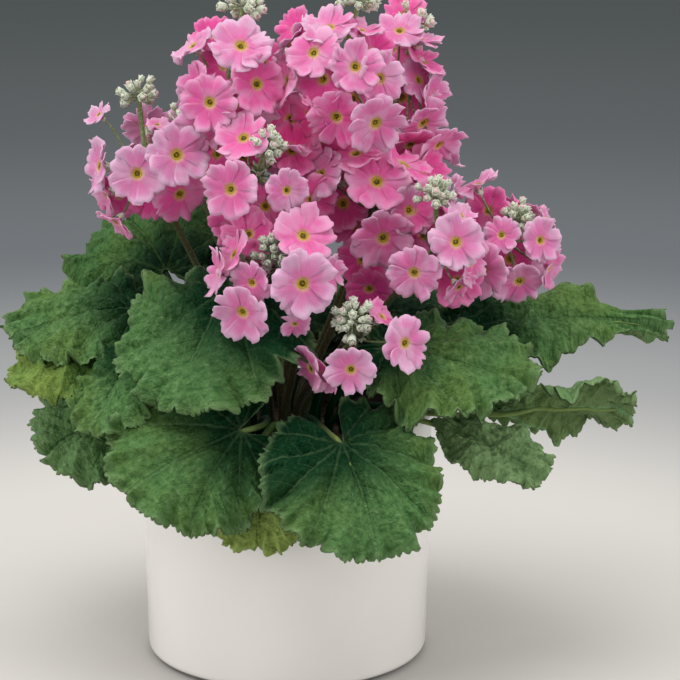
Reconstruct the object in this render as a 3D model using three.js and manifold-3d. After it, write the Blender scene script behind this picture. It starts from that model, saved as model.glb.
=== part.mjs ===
// Potted primrose: glazed pot, potting mix, frilled leaves, whorls of notched flowers and mealy buds.
// Millimetres, Z up, the pot's flat underside on z = 0, its axis on the Z axis, the front towards -Y.
import * as THREE from 'three';
import { mergeVertices } from 'three/addons/utils/BufferGeometryUtils.js';
import Module from 'manifold-3d';

const wasm = await Module();
wasm.setup();

// Pot and potting mix
const POT_TOP_RADIUS = 66.5;
const POT_BASE_RADIUS = 64;
const POT_HEIGHT = 115;
const POT_WALL = 4;
const POT_FLOOR = 5;
const POT_CORNER = 4;
const RIM_ROUND = 1;
const POT_SEGMENTS = 40;
const FIT_GAP = 0.3;
const MIX_EDGE_Z = 101;
const MIX_SHOULDER_RADIUS = 36;
const MIX_SHOULDER_Z = 103.4;
const MIX_CROWN_Z = 105;
const MIX_SEGMENTS = 24;

// Every stalk stands upright in its own plain hole
const ROOT_BOTTOM_Z = 91;
const ROOT_TOP_Z = 107;
const HOLE_BOTTOM_Z = 90.5;
const HOLE_TOP_Z = 112;
const STALK_SIDES = 5;

// Leaves: ring counts of a blade by its width, heart-shaped outline, teeth and frill
const BROAD_BLADE_RINGS = [10, 20, 40];
const BLADE_RINGS = [10, 40];
const SMALL_BLADE_RINGS = [8, 32];
const BROAD_LEAF_WIDTH = 71;
const SMALL_LEAF_WIDTH = 50;
const BLADE_THICKNESS = 1;
const BLADE_MIDDLE = 0.36;
const BLADE_BACK = 0.55;
const SINUS_DEPTH = 0.36;
const SINUS_WIDTH = 0.3;
const TOOTH_PATTERN = [0.9, 1.04, 0.97, 1.03];
const FRILL_WAVES = 6;
const SWAY_WAVES = 3;
const SWAY_SHARE = 0.6;
const BASE_HOLD = 0.6;
const DOME_SHARE = 0.1;
const RIB_STEPS = 24;
const PETIOLE_ROOT_RADIUS = 2.2;
const PETIOLE_TIP_RADIUS = 1.1;
const PETIOLE_STEPS = 5;
const PETIOLE_RISE = 0.3;
const PETIOLE_ARRIVAL = 0.4;
const MIDRIB_SHARE = 0.2;
const MIDRIB_SINK = 0.4;

// Scapes and the cluster of buds at the tip of each
const SCAPE_ROOT_RADIUS = 2;
const SCAPE_TIP_RADIUS = 1.2;
const SCAPE_STEPS = 7;
const SCAPE_UPRIGHT = 8;
const BUD_RADIUS = 2;
const BUD_SIDES = 5;
const BUD_BELLY = 0.72;
const BUD_SPACING = 0.7;
const BUD_LEAN = 38;
const BUD_LEAN_STEP = 17;
const BUD_TURN = 2.4;

// Flowers: collar round the scape, pedicel and tube, five notched petals
const COLLAR_RADIUS = 4.4;
const COLLAR_HALF_HEIGHT = 2.4;
const COLLAR_PLAY = 0.9;
const COLLAR_SIDES = 6;
const PEDICEL_ROOT = 3;
const PEDICEL_RADIUS = 0.7;
const PEDICEL_START = 2;
const TUBE_RADIUS = 1.9;
const TUBE_DEPTH = 3.2;
const PETALS = 5;
const PETAL_THICKNESS = 0.8;
const NOTCHED = { shares: [0.72, 1, 0.88, 1], angles: [-36, -18, 0, 18] };
const ROUNDED = { shares: [0.74, 1], angles: [-36, 0] };
const CUP_SHARE = 0.15;
const CUP_START = 0.6;
const EYE_DEPTH = 1;
const VIEWER_LEAN = 0.35;
const SKY_LEAN = 0.15;
const FAR_REACH = 25;
const FAR_DIAMETER = 22;
const FAR_PLAY = 3;
const FAR_UPPER_ROW = 0.5;
const FAR_LOWER_ROW = -0.3;

// Flower offsets are given as a viewer sees them whose line of sight dips by this angle
const SIGHT_DIP = THREE.MathUtils.degToRad(15);
const RIGHT = new THREE.Vector3(1, 0, 0);
const UP = new THREE.Vector3(0, 0, 1);
const SIGHT_UP = new THREE.Vector3(0, Math.sin(SIGHT_DIP), Math.cos(SIGHT_DIP));
const TOWARD = new THREE.Vector3(0, -Math.cos(SIGHT_DIP), Math.sin(SIGHT_DIP));

const FINISHES = {
  pot: { colour: 0xe4e1dc, roughness: 0.2 },
  mix: { colour: 0x3a2c22, roughness: 0.95 },
  green: { colour: 0x4c7a45, roughness: 0.6 },
  deep: { colour: 0x355f3c, roughness: 0.6 },
  lime: { colour: 0x87a548, roughness: 0.6 },
  scape: { colour: 0xa9bb95, roughness: 0.75 },
  petal: { colour: 0xe58fc0, roughness: 0.65 },
};

// Leaves: `root` is the bearing and radius of the hole, `at` the point where petiole and blade meet,
// `pitch` the slope of the midrib at that point and at the tip
const LEAVES = [
  {
    name: 'leaf_front', tone: 'green', root: [-72, 26], at: [26, -67, 133], bearing: -84,
    length: 76, width: 72, pitch: [-26, -74], roll: -5, wave: 3, phase: 0.4,
  },
  {
    name: 'leaf_front_left', tone: 'green', root: [-118, 26], at: [-33, -45, 138], bearing: -117,
    length: 78, width: 80, pitch: [-18, -66], roll: 0, wave: 3, phase: 1.1,
  },
  {
    name: 'leaf_left_low', tone: 'green', root: [-155, 26], at: [-68, -20, 127], bearing: -170,
    length: 52, width: 66, pitch: [4, -22], roll: -42, wave: 3, phase: 2.2,
  },
  {
    name: 'leaf_right_low', tone: 'green', root: [-42, 26], at: [68, -44, 123], bearing: -26,
    length: 56, width: 44, pitch: [-6, -34], roll: 26, wave: 3, phase: 0.2,
  },
  {
    name: 'leaf_right_turned', tone: 'green', root: [-10, 26], at: [82, -16, 120], bearing: 3,
    length: 72, width: 42, pitch: [6, -12], roll: -58, wave: 2.6, phase: 1.9,
  },
  {
    name: 'leaf_lime_low', tone: 'lime', root: [-97, 26], at: [-2, -69, 119], bearing: -95,
    length: 50, width: 58, pitch: [-40, -84], roll: 0, wave: 1.4, phase: 2.8,
  },
  {
    name: 'leaf_back_left_low', tone: 'deep', root: [155, 26], at: [-58, 28, 124], bearing: 152,
    length: 68, width: 66, pitch: [0, -42], roll: 0, wave: 3, phase: 0.9,
  },
  {
    name: 'leaf_back_low', tone: 'deep', root: [112, 26], at: [-20, 64, 124], bearing: 106,
    length: 72, width: 72, pitch: [-6, -56], roll: 0, wave: 3, phase: 2.5,
  },
  {
    name: 'leaf_back_right_low', tone: 'deep', root: [62, 26], at: [32, 60, 124], bearing: 60,
    length: 70, width: 68, pitch: [-4, -50], roll: 0, wave: 3, phase: 1.4,
  },
  {
    name: 'leaf_right_back_low', tone: 'deep', root: [22, 26], at: [68, 26, 124], bearing: 20,
    length: 60, width: 56, pitch: [0, -38], roll: 0, wave: 3, phase: 0.1,
  },
  {
    name: 'leaf_upper_front', tone: 'green', root: [-122, 18], at: [-29, -34, 183], bearing: -114,
    length: 76, width: 82, pitch: [-18, -64], roll: 0, wave: 3.4, phase: 0.8,
  },
  {
    name: 'leaf_upper_left', tone: 'green', root: [179, 18], at: [-66, -10, 163], bearing: 190,
    length: 62, width: 56, pitch: [8, -36], roll: -24, wave: 3.2, phase: 1.7,
  },
  {
    name: 'leaf_lime_left', tone: 'lime', root: [-160, 18], at: [-77, -24, 141], bearing: 190,
    length: 48, width: 40, pitch: [6, -26], roll: -26, wave: 2.4, phase: 0.5,
  },
  {
    name: 'leaf_raised_left', tone: 'deep', root: [150, 18], at: [-50, 24, 174], bearing: 114,
    length: 58, width: 82, pitch: [38, 2], roll: 0, wave: 3.4, phase: 2.4,
  },
  {
    name: 'leaf_small_left', tone: 'green', root: [-141, 18], at: [-57, -42, 150], bearing: -124,
    length: 48, width: 48, pitch: [-22, -64], roll: 0, wave: 2.4, phase: 1.2,
  },
  {
    name: 'leaf_upper_right', tone: 'green', root: [-48, 18], at: [54, -44, 162], bearing: -34,
    length: 60, width: 62, pitch: [-6, -38], roll: 16, wave: 3, phase: 2.1,
  },
  {
    name: 'leaf_long_right', tone: 'green', root: [-2, 19], at: [76, 2, 154], bearing: 1,
    length: 94, width: 60, pitch: [12, -18], roll: 26, wave: 3.4, phase: 0.3,
  },
  {
    name: 'leaf_upper_back_right', tone: 'deep', root: [40, 18], at: [42, 36, 162], bearing: 46,
    length: 66, width: 68, pitch: [24, -26], roll: 0, wave: 3.2, phase: 2.9,
  },
  {
    name: 'leaf_upper_back', tone: 'deep', root: [78, 18], at: [-8, 46, 160], bearing: 98,
    length: 64, width: 72, pitch: [30, -20], roll: 0, wave: 3.2, phase: 1.6,
  },
];

// Scapes: `root` as for leaves, `buds` their number and reach, `via` the way up to the tip
const SCAPES = [
  {
    name: 'scape_top_left', root: [150, 9], buds: [6, 9],
    via: [[-14, 2, 180], [-24.9, -6, 264.7], [-18, 0, 298]],
  },
  {
    name: 'scape_top', root: [-20, 6], buds: [6, 9],
    via: [[26, -4, 165], [38.7, -12, 211.3], [34, -14, 240], [25.4, -12, 270.2], [33, -8, 300]],
  },
  {
    name: 'scape_top_right', root: [36, 8], buds: [5, 9],
    via: [[34, 14, 190], [51.5, 22, 259.1], [58, 34, 286]],
  },
  {
    name: 'scape_left', root: [-170, 10], buds: [6, 10],
    via: [[-34, -6, 170], [-60.6, -8, 231.3], [-65, -2, 259]],
  },
  {
    name: 'scape_middle', root: [-110, 5], buds: [6, 9],
    via: [[-7, -14, 175], [-11.3, -31, 228], [-7, -44, 245]],
  },
  {
    name: 'scape_front_left', root: [-92, 11], buds: [6, 10],
    via: [[5, -26, 150], [-1, -50, 193.6], [-4, -62, 201]],
  },
  {
    name: 'scape_front', root: [-65, 11], buds: [6, 10],
    via: [[14, -30, 138], [32.3, -60, 163], [29.6, -73, 171]],
  },
  {
    name: 'scape_right_front', root: [-40, 11], buds: [6, 9],
    via: [[42, -24, 165], [65.7, -36, 198.8], [66, -40, 222]],
  },
  {
    name: 'scape_right', root: [4, 11], buds: [6, 11],
    via: [[44, 4, 165], [96, -8, 196], [104, -12, 205]],
  },
  {
    name: 'scape_back', root: [90, 6], buds: [5, 9],
    via: [[2, 24, 190], [2, 36, 244], [0, 40, 268]],
  },
  {
    name: 'scape_back_left', root: [130, 12], buds: [5, 9],
    via: [[-26, 26, 170], [-44, 42, 218], [-50, 48, 236]],
  },
  {
    name: 'scape_back_right', root: [64, 12], buds: [5, 9],
    via: [[26, 30, 160], [52, 60, 205], [58, 66, 224]],
  },
];

// Whorls: flowers are [right, up, diameter, reach] from the whorl's middle as the viewer sees them,
// `shaded` ones have plain petals, `behind` is a number of far-side flowers and their sweep of bearings
const HEADS = [
  {
    name: 'head_top_left', scape: 'scape_top_left', at: [-24.9, -8, 264.7], behind: [3, 70, 190],
    blooms: [
      [-15, 17.5, 22, 25], [5, 18.5, 30, 29], [13, 0.5, 26, 25], [-8, -5, 26, 28], [-15, -16, 28, 25],
    ],
    shaded: [
      [-17.5, 0, 25, 20],
    ],
  },
  {
    name: 'head_top', scape: 'scape_top', at: [25.4, -14, 270.2], behind: [2, 62, 142],
    blooms: [
      [15.5, -22, 30, 34], [-2, -19, 27, 26], [17, -1.5, 27, 21], [7, 4, 26, 27], [-16, 11, 26, 30],
      [-6, 21, 28, 26],
    ],
    shaded: [
      [-6, -1, 27, 19], [-25, -3, 26, 27], [-23.5, 15.5, 24, 28], [-15, -16, 26, 23],
    ],
  },
  {
    name: 'head_top_right', scape: 'scape_top_right', at: [51.5, 22, 259.1], behind: [2, 10, 90],
    blooms: [
      [-2, 25, 24, 30], [16, 23, 24, 33], [17, -17, 27, 33],
    ],
    shaded: [
      [10, 10, 26, 26], [18, -2, 24, 20], [8, -26, 26, 30], [25, -27, 24, 37],
    ],
  },
  {
    name: 'head_middle_right', scape: 'scape_top', at: [38.7, -12, 211.3], behind: [1, 10, 40],
    blooms: [
      [2, 9, 30, 26], [17, -3, 20, 25], [5, -15.5, 30, 26], [-23.5, 13.5, 25, 34],
    ],
    shaded: [
      [-16, 13.5, 28, 21], [15, 20, 28, 27], [-7, 24, 26, 33],
    ],
  },
  {
    name: 'head_left', scape: 'scape_left', at: [-60.6, -10, 231.3], behind: [3, 80, 190],
    blooms: [
      [13, 2, 30, 32], [-5, -6, 29, 27], [15, -15.5, 28, 24], [-23, 1, 28, 27], [-20, 22.5, 16, 32],
    ],
    shaded: [
      [-13.5, -25, 26, 29], [2, 19, 16, 25],
    ],
  },
  {
    name: 'head_middle', scape: 'scape_middle', at: [-11.3, -32, 230.6], behind: [0, 0, 0],
    blooms: [
      [-12, -8, 28, 27], [-8, 18.5, 26, 25.5], [13, -8, 20, 27],
    ],
    shaded: [
      [10, 16, 26, 19],
    ],
  },
  {
    name: 'head_front_left', scape: 'scape_front_left', at: [-1, -50, 193.6], behind: [0, 0, 0],
    blooms: [
      [10, 13.5, 30, 25], [10, -8.5, 29, 30], [-11.5, -9, 20, 25], [-18, -20, 29, 35],
    ],
    shaded: [
      [-26, -12, 25, 31], [-23, 6, 24, 26], [7, -27, 22, 33],
    ],
  },
  {
    name: 'head_right', scape: 'scape_right', at: [99.6, -8, 194.4], behind: [2, 10, 90],
    blooms: [
      [-14.5, 22.5, 24, 28], [15.5, -0.5, 24, 26], [5.5, -19, 26, 23],
    ],
    shaded: [
      [-11, -12.5, 28, 25], [-1.5, 5.5, 22, 22], [22, -12.5, 22, 26],
    ],
  },
  {
    name: 'head_right_front', scape: 'scape_right_front', at: [65.7, -36, 198.8], behind: [0, 0, 0],
    blooms: [
      [-9, -13, 27, 26], [10, 1.5, 27, 27], [12, 15.5, 20, 24],
    ],
    shaded: [
      [5, -12, 24, 18],
    ],
  },
  {
    name: 'head_front', scape: 'scape_front', at: [32.3, -60, 163], behind: [0, 0, 0],
    blooms: [
      [-16, -16, 22, 25], [-3, -14, 23, 27], [21, -2, 25, 28],
    ],
    shaded: [
      [9, 17, 24, 26],
    ],
  },
  {
    name: 'head_back', scape: 'scape_back', at: [2, 36, 244], behind: [5, -10, 150],
    blooms: [],
    shaded: [
      [0, -4, 26, 22], [8, -24, 28, 27], [-15, -16, 26, 25],
    ],
  },
  {
    name: 'head_back_left', scape: 'scape_back_left', at: [-44, 42, 218], behind: [5, 50, 220],
    blooms: [],
    shaded: [],
  },
  {
    name: 'head_back_right', scape: 'scape_back_right', at: [52, 60, 205], behind: [5, -30, 150],
    blooms: [],
    shaded: [],
  },
];

const degrees = THREE.MathUtils.degToRad;

function lerp(a, b, t) {
  return a + (b - a) * t;
}

// Repeatable random numbers from a whole-number seed
function seeded(seed) {
  let state = seed >>> 0;
  return () => {
    state = (Math.imul(state, 1664525) + 1013904223) >>> 0;
    return state / 4294967296;
  };
}

function vector([x, y, z]) {
  return new THREE.Vector3(x, y, z);
}

// Point at a bearing and a radius from the pot's axis
function onRing([bearing, radius], z) {
  const angle = degrees(bearing);
  return new THREE.Vector3(radius * Math.cos(angle), radius * Math.sin(angle), z);
}

// Triangles between two rings; the larger count is a whole multiple of the smaller
function stitch(faces, a, b) {
  if (a.count > b.count) {
    const flipped = [];
    stitch(flipped, b, a);
    flipped.forEach(([i, j, k]) => faces.push([i, k, j]));
    return;
  }
  const ratio = b.count / a.count;
  const half = Math.floor(ratio / 2);
  const inner = (i) => a.start + ((i + a.count) % a.count);
  const outer = (j) => b.start + ((j + b.count) % b.count);
  for (let i = 0; i < a.count; i += 1) {
    for (let j = 0; j < ratio; j += 1) {
      const k = i * ratio + j - half;
      faces.push([inner(i), outer(k), outer(k + 1)]);
    }
    if (a.count > 1) {
      faces.push([inner(i), outer((i + 1) * ratio - half), inner(i + 1)]);
    }
  }
}

// Closed skin over a chain of rings that starts and ends in a single point
function skin(rings) {
  const spans = [];
  let start = 0;
  rings.forEach((ring) => {
    spans.push({ start, count: ring.length });
    start += ring.length;
  });
  const faces = [];
  for (let i = 1; i < spans.length; i += 1) {
    stitch(faces, spans[i - 1], spans[i]);
  }
  return closedSolid(rings.flat(), faces);
}

// Solid from points and triangles, turned so that its faces look outward
function closedSolid(points, faces) {
  let volume = 0;
  faces.forEach(([i, j, k]) => {
    volume += points[i].dot(points[j].clone().cross(points[k]));
  });
  const order = volume < 0 ? faces.map(([i, j, k]) => [i, k, j]) : faces;
  return manifold(points.flatMap((p) => [p.x, p.y, p.z]), order.flat());
}

function manifold(positions, triangles) {
  return new wasm.Manifold(new wasm.Mesh({
    numProp: 3,
    vertProperties: new Float32Array(positions),
    triVerts: new Uint32Array(triangles),
  }));
}

function solidOf(geometry) {
  const bare = geometry.clone();
  bare.deleteAttribute('normal');
  bare.deleteAttribute('uv');
  const merged = mergeVertices(bare, 1e-4);
  return manifold(merged.attributes.position.array, merged.index.array);
}

function meshOf(name, solid, finish) {
  const { vertProperties, triVerts } = solid.getMesh();
  const geometry = new THREE.BufferGeometry();
  geometry.setAttribute('position', new THREE.BufferAttribute(vertProperties, 3));
  geometry.setIndex(new THREE.BufferAttribute(triVerts, 1));
  geometry.computeVertexNormals();
  const { colour, roughness } = FINISHES[finish];
  const material = new THREE.MeshStandardMaterial({ color: colour, roughness, metalness: 0 });
  const mesh = new THREE.Mesh(geometry, material);
  mesh.name = name;
  return mesh;
}

// Two directions square to an axis and to each other
function crossAxes(axis) {
  const helper = Math.abs(axis.z) > 0.9 ? RIGHT : UP;
  const u = helper.clone().cross(axis).normalize();
  return [u, axis.clone().cross(u)];
}

function around(centre, u, v, radius, angle) {
  return centre.clone()
    .addScaledVector(u, radius * Math.cos(angle))
    .addScaledVector(v, radius * Math.sin(angle));
}

function ringAbout(centre, axis, radius, sides) {
  const [u, v] = crossAxes(axis);
  return Array.from({ length: sides }, (_, i) => around(centre, u, v, radius, (i * 2 * Math.PI) / sides));
}

// Tube through points with a radius at each, its rings carried along without twist
function tube(points, radii) {
  const first = points[1].clone().sub(points[0]).normalize();
  const side = RIGHT.clone().addScaledVector(first, -RIGHT.dot(first)).normalize();
  const rings = points.map((point, i) => {
    const before = points[Math.max(i - 1, 0)];
    const after = points[Math.min(i + 1, points.length - 1)];
    const axis = after.clone().sub(before).normalize();
    side.addScaledVector(axis, -side.dot(axis)).normalize();
    const other = axis.clone().cross(side);
    return Array.from({ length: STALK_SIDES }, (_, k) => (
      around(point, side, other, radii[i], (k * 2 * Math.PI) / STALK_SIDES)
    ));
  });
  return skin([[points[0]], ...rings, [points[points.length - 1]]]);
}

// Radii that stay full in the hole and then narrow evenly to the tip
function narrowing(points, from, to) {
  return points.map((_, i) => lerp(from, to, Math.max(i - 1, 0) / (points.length - 2)));
}

function lathe(profile, segments) {
  const geometry = new THREE.LatheGeometry(profile.map(([x, y]) => new THREE.Vector2(x, y)), segments);
  geometry.rotateX(Math.PI / 2);
  return solidOf(geometry);
}

function pot() {
  const inside = POT_TOP_RADIUS - POT_WALL;
  return lathe([
    [0, 0],
    [POT_BASE_RADIUS - POT_CORNER, 0],
    [POT_BASE_RADIUS - 0.3 * POT_CORNER, 0.3 * POT_CORNER],
    [POT_BASE_RADIUS, POT_CORNER],
    [POT_TOP_RADIUS, POT_HEIGHT - RIM_ROUND],
    [POT_TOP_RADIUS - RIM_ROUND, POT_HEIGHT],
    [inside + RIM_ROUND, POT_HEIGHT],
    [inside, POT_HEIGHT - RIM_ROUND],
    [POT_BASE_RADIUS - POT_WALL, POT_FLOOR],
    [0, POT_FLOOR],
  ], POT_SEGMENTS);
}

// Radius of the mix at a height, clear of the pot's flat-sided wall
function mixRadius(z) {
  const share = (z - POT_FLOOR) / (POT_HEIGHT - RIM_ROUND - POT_FLOOR);
  const wall = lerp(POT_BASE_RADIUS, POT_TOP_RADIUS, share) - POT_WALL;
  return wall * Math.cos(Math.PI / POT_SEGMENTS) - FIT_GAP;
}

function hole(root, radius) {
  const wide = radius + FIT_GAP / Math.cos(Math.PI / STALK_SIDES);
  return tube([onRing(root, HOLE_BOTTOM_Z), onRing(root, HOLE_TOP_Z)], [wide, wide]);
}

// Potting mix, standing on the pot's floor, with a hole for every stalk
function mix() {
  const body = lathe([
    [0, POT_FLOOR],
    [mixRadius(POT_FLOOR), POT_FLOOR],
    [mixRadius(MIX_EDGE_Z), MIX_EDGE_Z],
    [MIX_SHOULDER_RADIUS, MIX_SHOULDER_Z],
    [0, MIX_CROWN_Z],
  ], MIX_SEGMENTS);
  const holes = [
    ...LEAVES.map((leaf) => hole(leaf.root, PETIOLE_ROOT_RADIUS)),
    ...SCAPES.map((scape) => hole(scape.root, SCAPE_ROOT_RADIUS)),
  ];
  return holes.reduce((solid, one) => solid.subtract(one), body);
}

// Midrib of a leaf as a function of the distance from the petiole: place, direction, side and upper face
function midrib(leaf) {
  const heading = onRing([leaf.bearing, 1], 0);
  const left = UP.clone().cross(heading);
  const roll = degrees(leaf.roll);
  const point = vector(leaf.at);
  const stations = [];
  for (let i = 0; i <= RIB_STEPS; i += 1) {
    const pitch = degrees(lerp(leaf.pitch[0], leaf.pitch[1], i / RIB_STEPS));
    const along = around(new THREE.Vector3(), heading, UP, 1, pitch);
    const normal = around(new THREE.Vector3(), heading, UP, 1, pitch + Math.PI / 2);
    const across = around(new THREE.Vector3(), left, normal, 1, roll);
    const out = around(new THREE.Vector3(), left, normal, 1, roll + Math.PI / 2);
    stations.push({ point: point.clone(), along, across, out });
    point.addScaledVector(along, leaf.length / RIB_STEPS);
  }
  return (distance) => {
    const place = THREE.MathUtils.clamp((distance / leaf.length) * RIB_STEPS, 0, RIB_STEPS - 1e-6);
    const i = Math.floor(place);
    const station = {};
    Object.keys(stations[i]).forEach((key) => {
      station[key] = stations[i][key].clone().lerp(stations[i + 1][key], place - i);
    });
    station.point.addScaledVector(station.along, Math.min(distance, 0));
    return station;
  };
}

// Edge of a blade in its own plane: distance along the midrib and to its side
function bladeEdge(leaf, angle) {
  const fromBase = Math.PI - Math.abs(angle);
  const sinus = 1 - SINUS_DEPTH * Math.exp(-((fromBase / SINUS_WIDTH) ** 2));
  const reach = Math.cos(angle) > 0 ? 1 - BLADE_MIDDLE : BLADE_BACK * sinus;
  return [leaf.length * reach * Math.cos(angle), 0.5 * leaf.width * Math.sin(angle)];
}

// Point of a blade's face at an angle and a share of the way out, frilled more towards the edge
function bladePoint(leaf, rib, angle, share, reach, lift) {
  const [edgeAlong, edgeAside] = bladeEdge(leaf, angle);
  const station = rib(leaf.length * BLADE_MIDDLE + edgeAlong * share * reach);
  const aside = edgeAside * share * reach;
  const loose = 1 - Math.exp(-(((Math.PI - Math.abs(angle)) / BASE_HOLD) ** 2));
  const frill = share * share * Math.sin(FRILL_WAVES * angle + leaf.phase);
  const sway = SWAY_SHARE * share * Math.sin(SWAY_WAVES * angle + 2 * leaf.phase);
  const dome = DOME_SHARE * leaf.width * ((2 * aside) / leaf.width) ** 2;
  const rise = loose * leaf.wave * (frill + sway) - dome + lift;
  return station.point.addScaledVector(station.across, aside).addScaledVector(station.out, rise);
}

function bladeCounts(leaf) {
  if (leaf.width > BROAD_LEAF_WIDTH) {
    return BROAD_BLADE_RINGS;
  }
  return leaf.width > SMALL_LEAF_WIDTH ? BLADE_RINGS : SMALL_BLADE_RINGS;
}

// One face of a blade as rings from its middle to its toothed edge
function bladeFace(leaf, rib, lift) {
  const counts = bladeCounts(leaf);
  const rings = counts.map((count, ring) => Array.from({ length: count }, (_, i) => {
    const turn = (i * 2 * Math.PI) / count;
    const angle = turn > Math.PI ? turn - 2 * Math.PI : turn;
    const atEdge = ring === counts.length - 1;
    const reach = atEdge ? TOOTH_PATTERN[i % TOOTH_PATTERN.length] : 1;
    return bladePoint(leaf, rib, angle, (ring + 1) / counts.length, reach, lift);
  }));
  return [[bladePoint(leaf, rib, 0, 0, 1, lift)], ...rings];
}

function blade(leaf, rib) {
  const upper = bladeFace(leaf, rib, BLADE_THICKNESS / 2);
  const lower = bladeFace(leaf, rib, -BLADE_THICKNESS / 2);
  return skin([...upper, ...lower.reverse()]);
}

// Petiole: upright in its hole, arching over to the blade and on into the midrib
function petiole(leaf, rib) {
  const ground = onRing(leaf.root, ROOT_TOP_Z);
  const start = rib(0);
  const span = start.point.distanceTo(ground);
  const curve = new THREE.CubicBezierCurve3(
    ground,
    ground.clone().addScaledVector(UP, span * PETIOLE_RISE),
    start.point.clone().addScaledVector(start.along, -span * PETIOLE_ARRIVAL),
    start.point,
  );
  const inside = rib(leaf.length * MIDRIB_SHARE);
  const end = inside.point.addScaledVector(inside.out, -MIDRIB_SINK);
  const points = [onRing(leaf.root, ROOT_BOTTOM_Z), ...curve.getPoints(PETIOLE_STEPS), end];
  return tube(points, narrowing(points, PETIOLE_ROOT_RADIUS, PETIOLE_TIP_RADIUS));
}

function leafSolid(leaf) {
  const rib = midrib(leaf);
  return petiole(leaf, rib).add(blade(leaf, rib));
}

// Line of a scape: upright in its hole, then a smooth climb through its points
function scapePoints(scape) {
  const ground = onRing(scape.root, ROOT_TOP_Z);
  const upright = onRing(scape.root, ROOT_TOP_Z + SCAPE_UPRIGHT);
  const climb = [ground, upright, ...scape.via.map(vector)];
  const curve = new THREE.CatmullRomCurve3(climb, false, 'centripetal');
  return [onRing(scape.root, ROOT_BOTTOM_Z), ...curve.getSpacedPoints(SCAPE_STEPS)];
}

function bud(from, direction, reach, radius) {
  const belly = from.clone().addScaledVector(direction, reach * BUD_BELLY);
  const tip = from.clone().addScaledVector(direction, reach);
  return skin([[from], ringAbout(belly, direction, radius, BUD_SIDES), [tip]]);
}

// Buds fan out from the last stretch of the scape, each rooted a little lower than the one before
function budCluster(scape, tip, axis, index) {
  const [number, reach] = scape.buds;
  const random = seeded(101 + index);
  const [u, v] = crossAxes(axis);
  return Array.from({ length: number }, (_, i) => {
    const lean = i === 0 ? 0 : degrees(BUD_LEAN + BUD_LEAN_STEP * (i % 3));
    const side = around(new THREE.Vector3(), u, v, 1, i * BUD_TURN + random());
    const direction = around(new THREE.Vector3(), axis, side, 1, lean);
    const from = tip.clone().addScaledVector(axis, -BUD_SPACING * (i + 1));
    return bud(from, direction, reach * lerp(0.88, 1.12, random()), BUD_RADIUS * lerp(0.85, 1.15, random()));
  });
}

function scapeSolid(scape, index) {
  const points = scapePoints(scape);
  const stem = tube(points, narrowing(points, SCAPE_ROOT_RADIUS, SCAPE_TIP_RADIUS));
  const [below, tip] = points.slice(-2);
  const axis = tip.clone().sub(below).normalize();
  return budCluster(scape, tip, axis, index).reduce((solid, one) => solid.add(one), stem);
}

// Straight run of a scape that passes nearest to a point
function nearestRun(scape, target) {
  const points = scapePoints(scape);
  const runs = points.slice(1).map((point, i) => {
    const line = new THREE.Line3(points[i], point);
    const foot = line.closestPointToPoint(target, true, new THREE.Vector3());
    return { foot, axis: line.delta(new THREE.Vector3()).normalize(), distance: foot.distanceTo(target) };
  });
  return runs.reduce((best, run) => (run.distance < best.distance ? run : best));
}

// Collar of the flower colour round the scape, from which the pedicels grow
function collar({ foot, axis }) {
  const inner = lerp(SCAPE_ROOT_RADIUS, SCAPE_TIP_RADIUS, 0.5) + COLLAR_PLAY;
  const profile = [
    new THREE.Vector2(inner, -COLLAR_HALF_HEIGHT),
    new THREE.Vector2(COLLAR_RADIUS, 0),
    new THREE.Vector2(inner, COLLAR_HALF_HEIGHT),
    new THREE.Vector2(inner, -COLLAR_HALF_HEIGHT),
  ];
  const geometry = new THREE.LatheGeometry(profile, COLLAR_SIDES);
  geometry.applyQuaternion(new THREE.Quaternion().setFromUnitVectors(new THREE.Vector3(0, 1, 0), axis));
  geometry.translate(foot.x, foot.y, foot.z);
  return solidOf(geometry);
}

// Outline of a corolla: the same few points for each of its petals
function petalRing(centre, facing, radius, pattern, lift) {
  const [u, v] = crossAxes(facing);
  return Array.from({ length: PETALS }, (_, petal) => pattern.shares.map((share, i) => {
    const angle = degrees((360 / PETALS) * petal + pattern.angles[i]);
    const rise = CUP_SHARE * radius * (share - CUP_START) + lift;
    return around(centre, u, v, radius * share, angle).addScaledVector(facing, rise);
  })).flat();
}

// One flower: a pedicel that widens into the tube, then the flat corolla with its sunken eye
function flower(root, centre, facing, diameter, pattern) {
  const neck = centre.clone().addScaledVector(facing, -TUBE_DEPTH);
  const run = neck.clone().sub(root).normalize();
  const start = root.clone().addScaledVector(run, PEDICEL_START);
  return skin([
    [root],
    ringAbout(start, run, PEDICEL_RADIUS, STALK_SIDES),
    ringAbout(neck, facing, TUBE_RADIUS, STALK_SIDES),
    petalRing(centre, facing, diameter / 2, pattern, -PETAL_THICKNESS),
    petalRing(centre, facing, diameter / 2, pattern, 0),
    [centre.clone().addScaledVector(facing, -EYE_DEPTH)],
  ]);
}

// Offset from a whorl's middle to a flower's eye, from its place in the viewer's picture
function viewedOffset([right, up, , reach]) {
  const depth = Math.sqrt(Math.max(reach * reach - right * right - up * up, 0));
  return new THREE.Vector3()
    .addScaledVector(RIGHT, right)
    .addScaledVector(SIGHT_UP, up)
    .addScaledVector(TOWARD, depth);
}

// Open flowers turn a little to the viewer, shaded ones and those of the far side to the sky
function leaning(offset, towards, amount) {
  return offset.clone().normalize().addScaledVector(towards, amount).normalize();
}

function openFlower(bloom) {
  const offset = viewedOffset(bloom);
  return { offset, facing: leaning(offset, TOWARD, VIEWER_LEAN), diameter: bloom[2], pattern: NOTCHED };
}

function shadedFlower(bloom) {
  const offset = viewedOffset(bloom);
  return { offset, facing: leaning(offset, UP, SKY_LEAN), diameter: bloom[2], pattern: ROUNDED };
}

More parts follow.
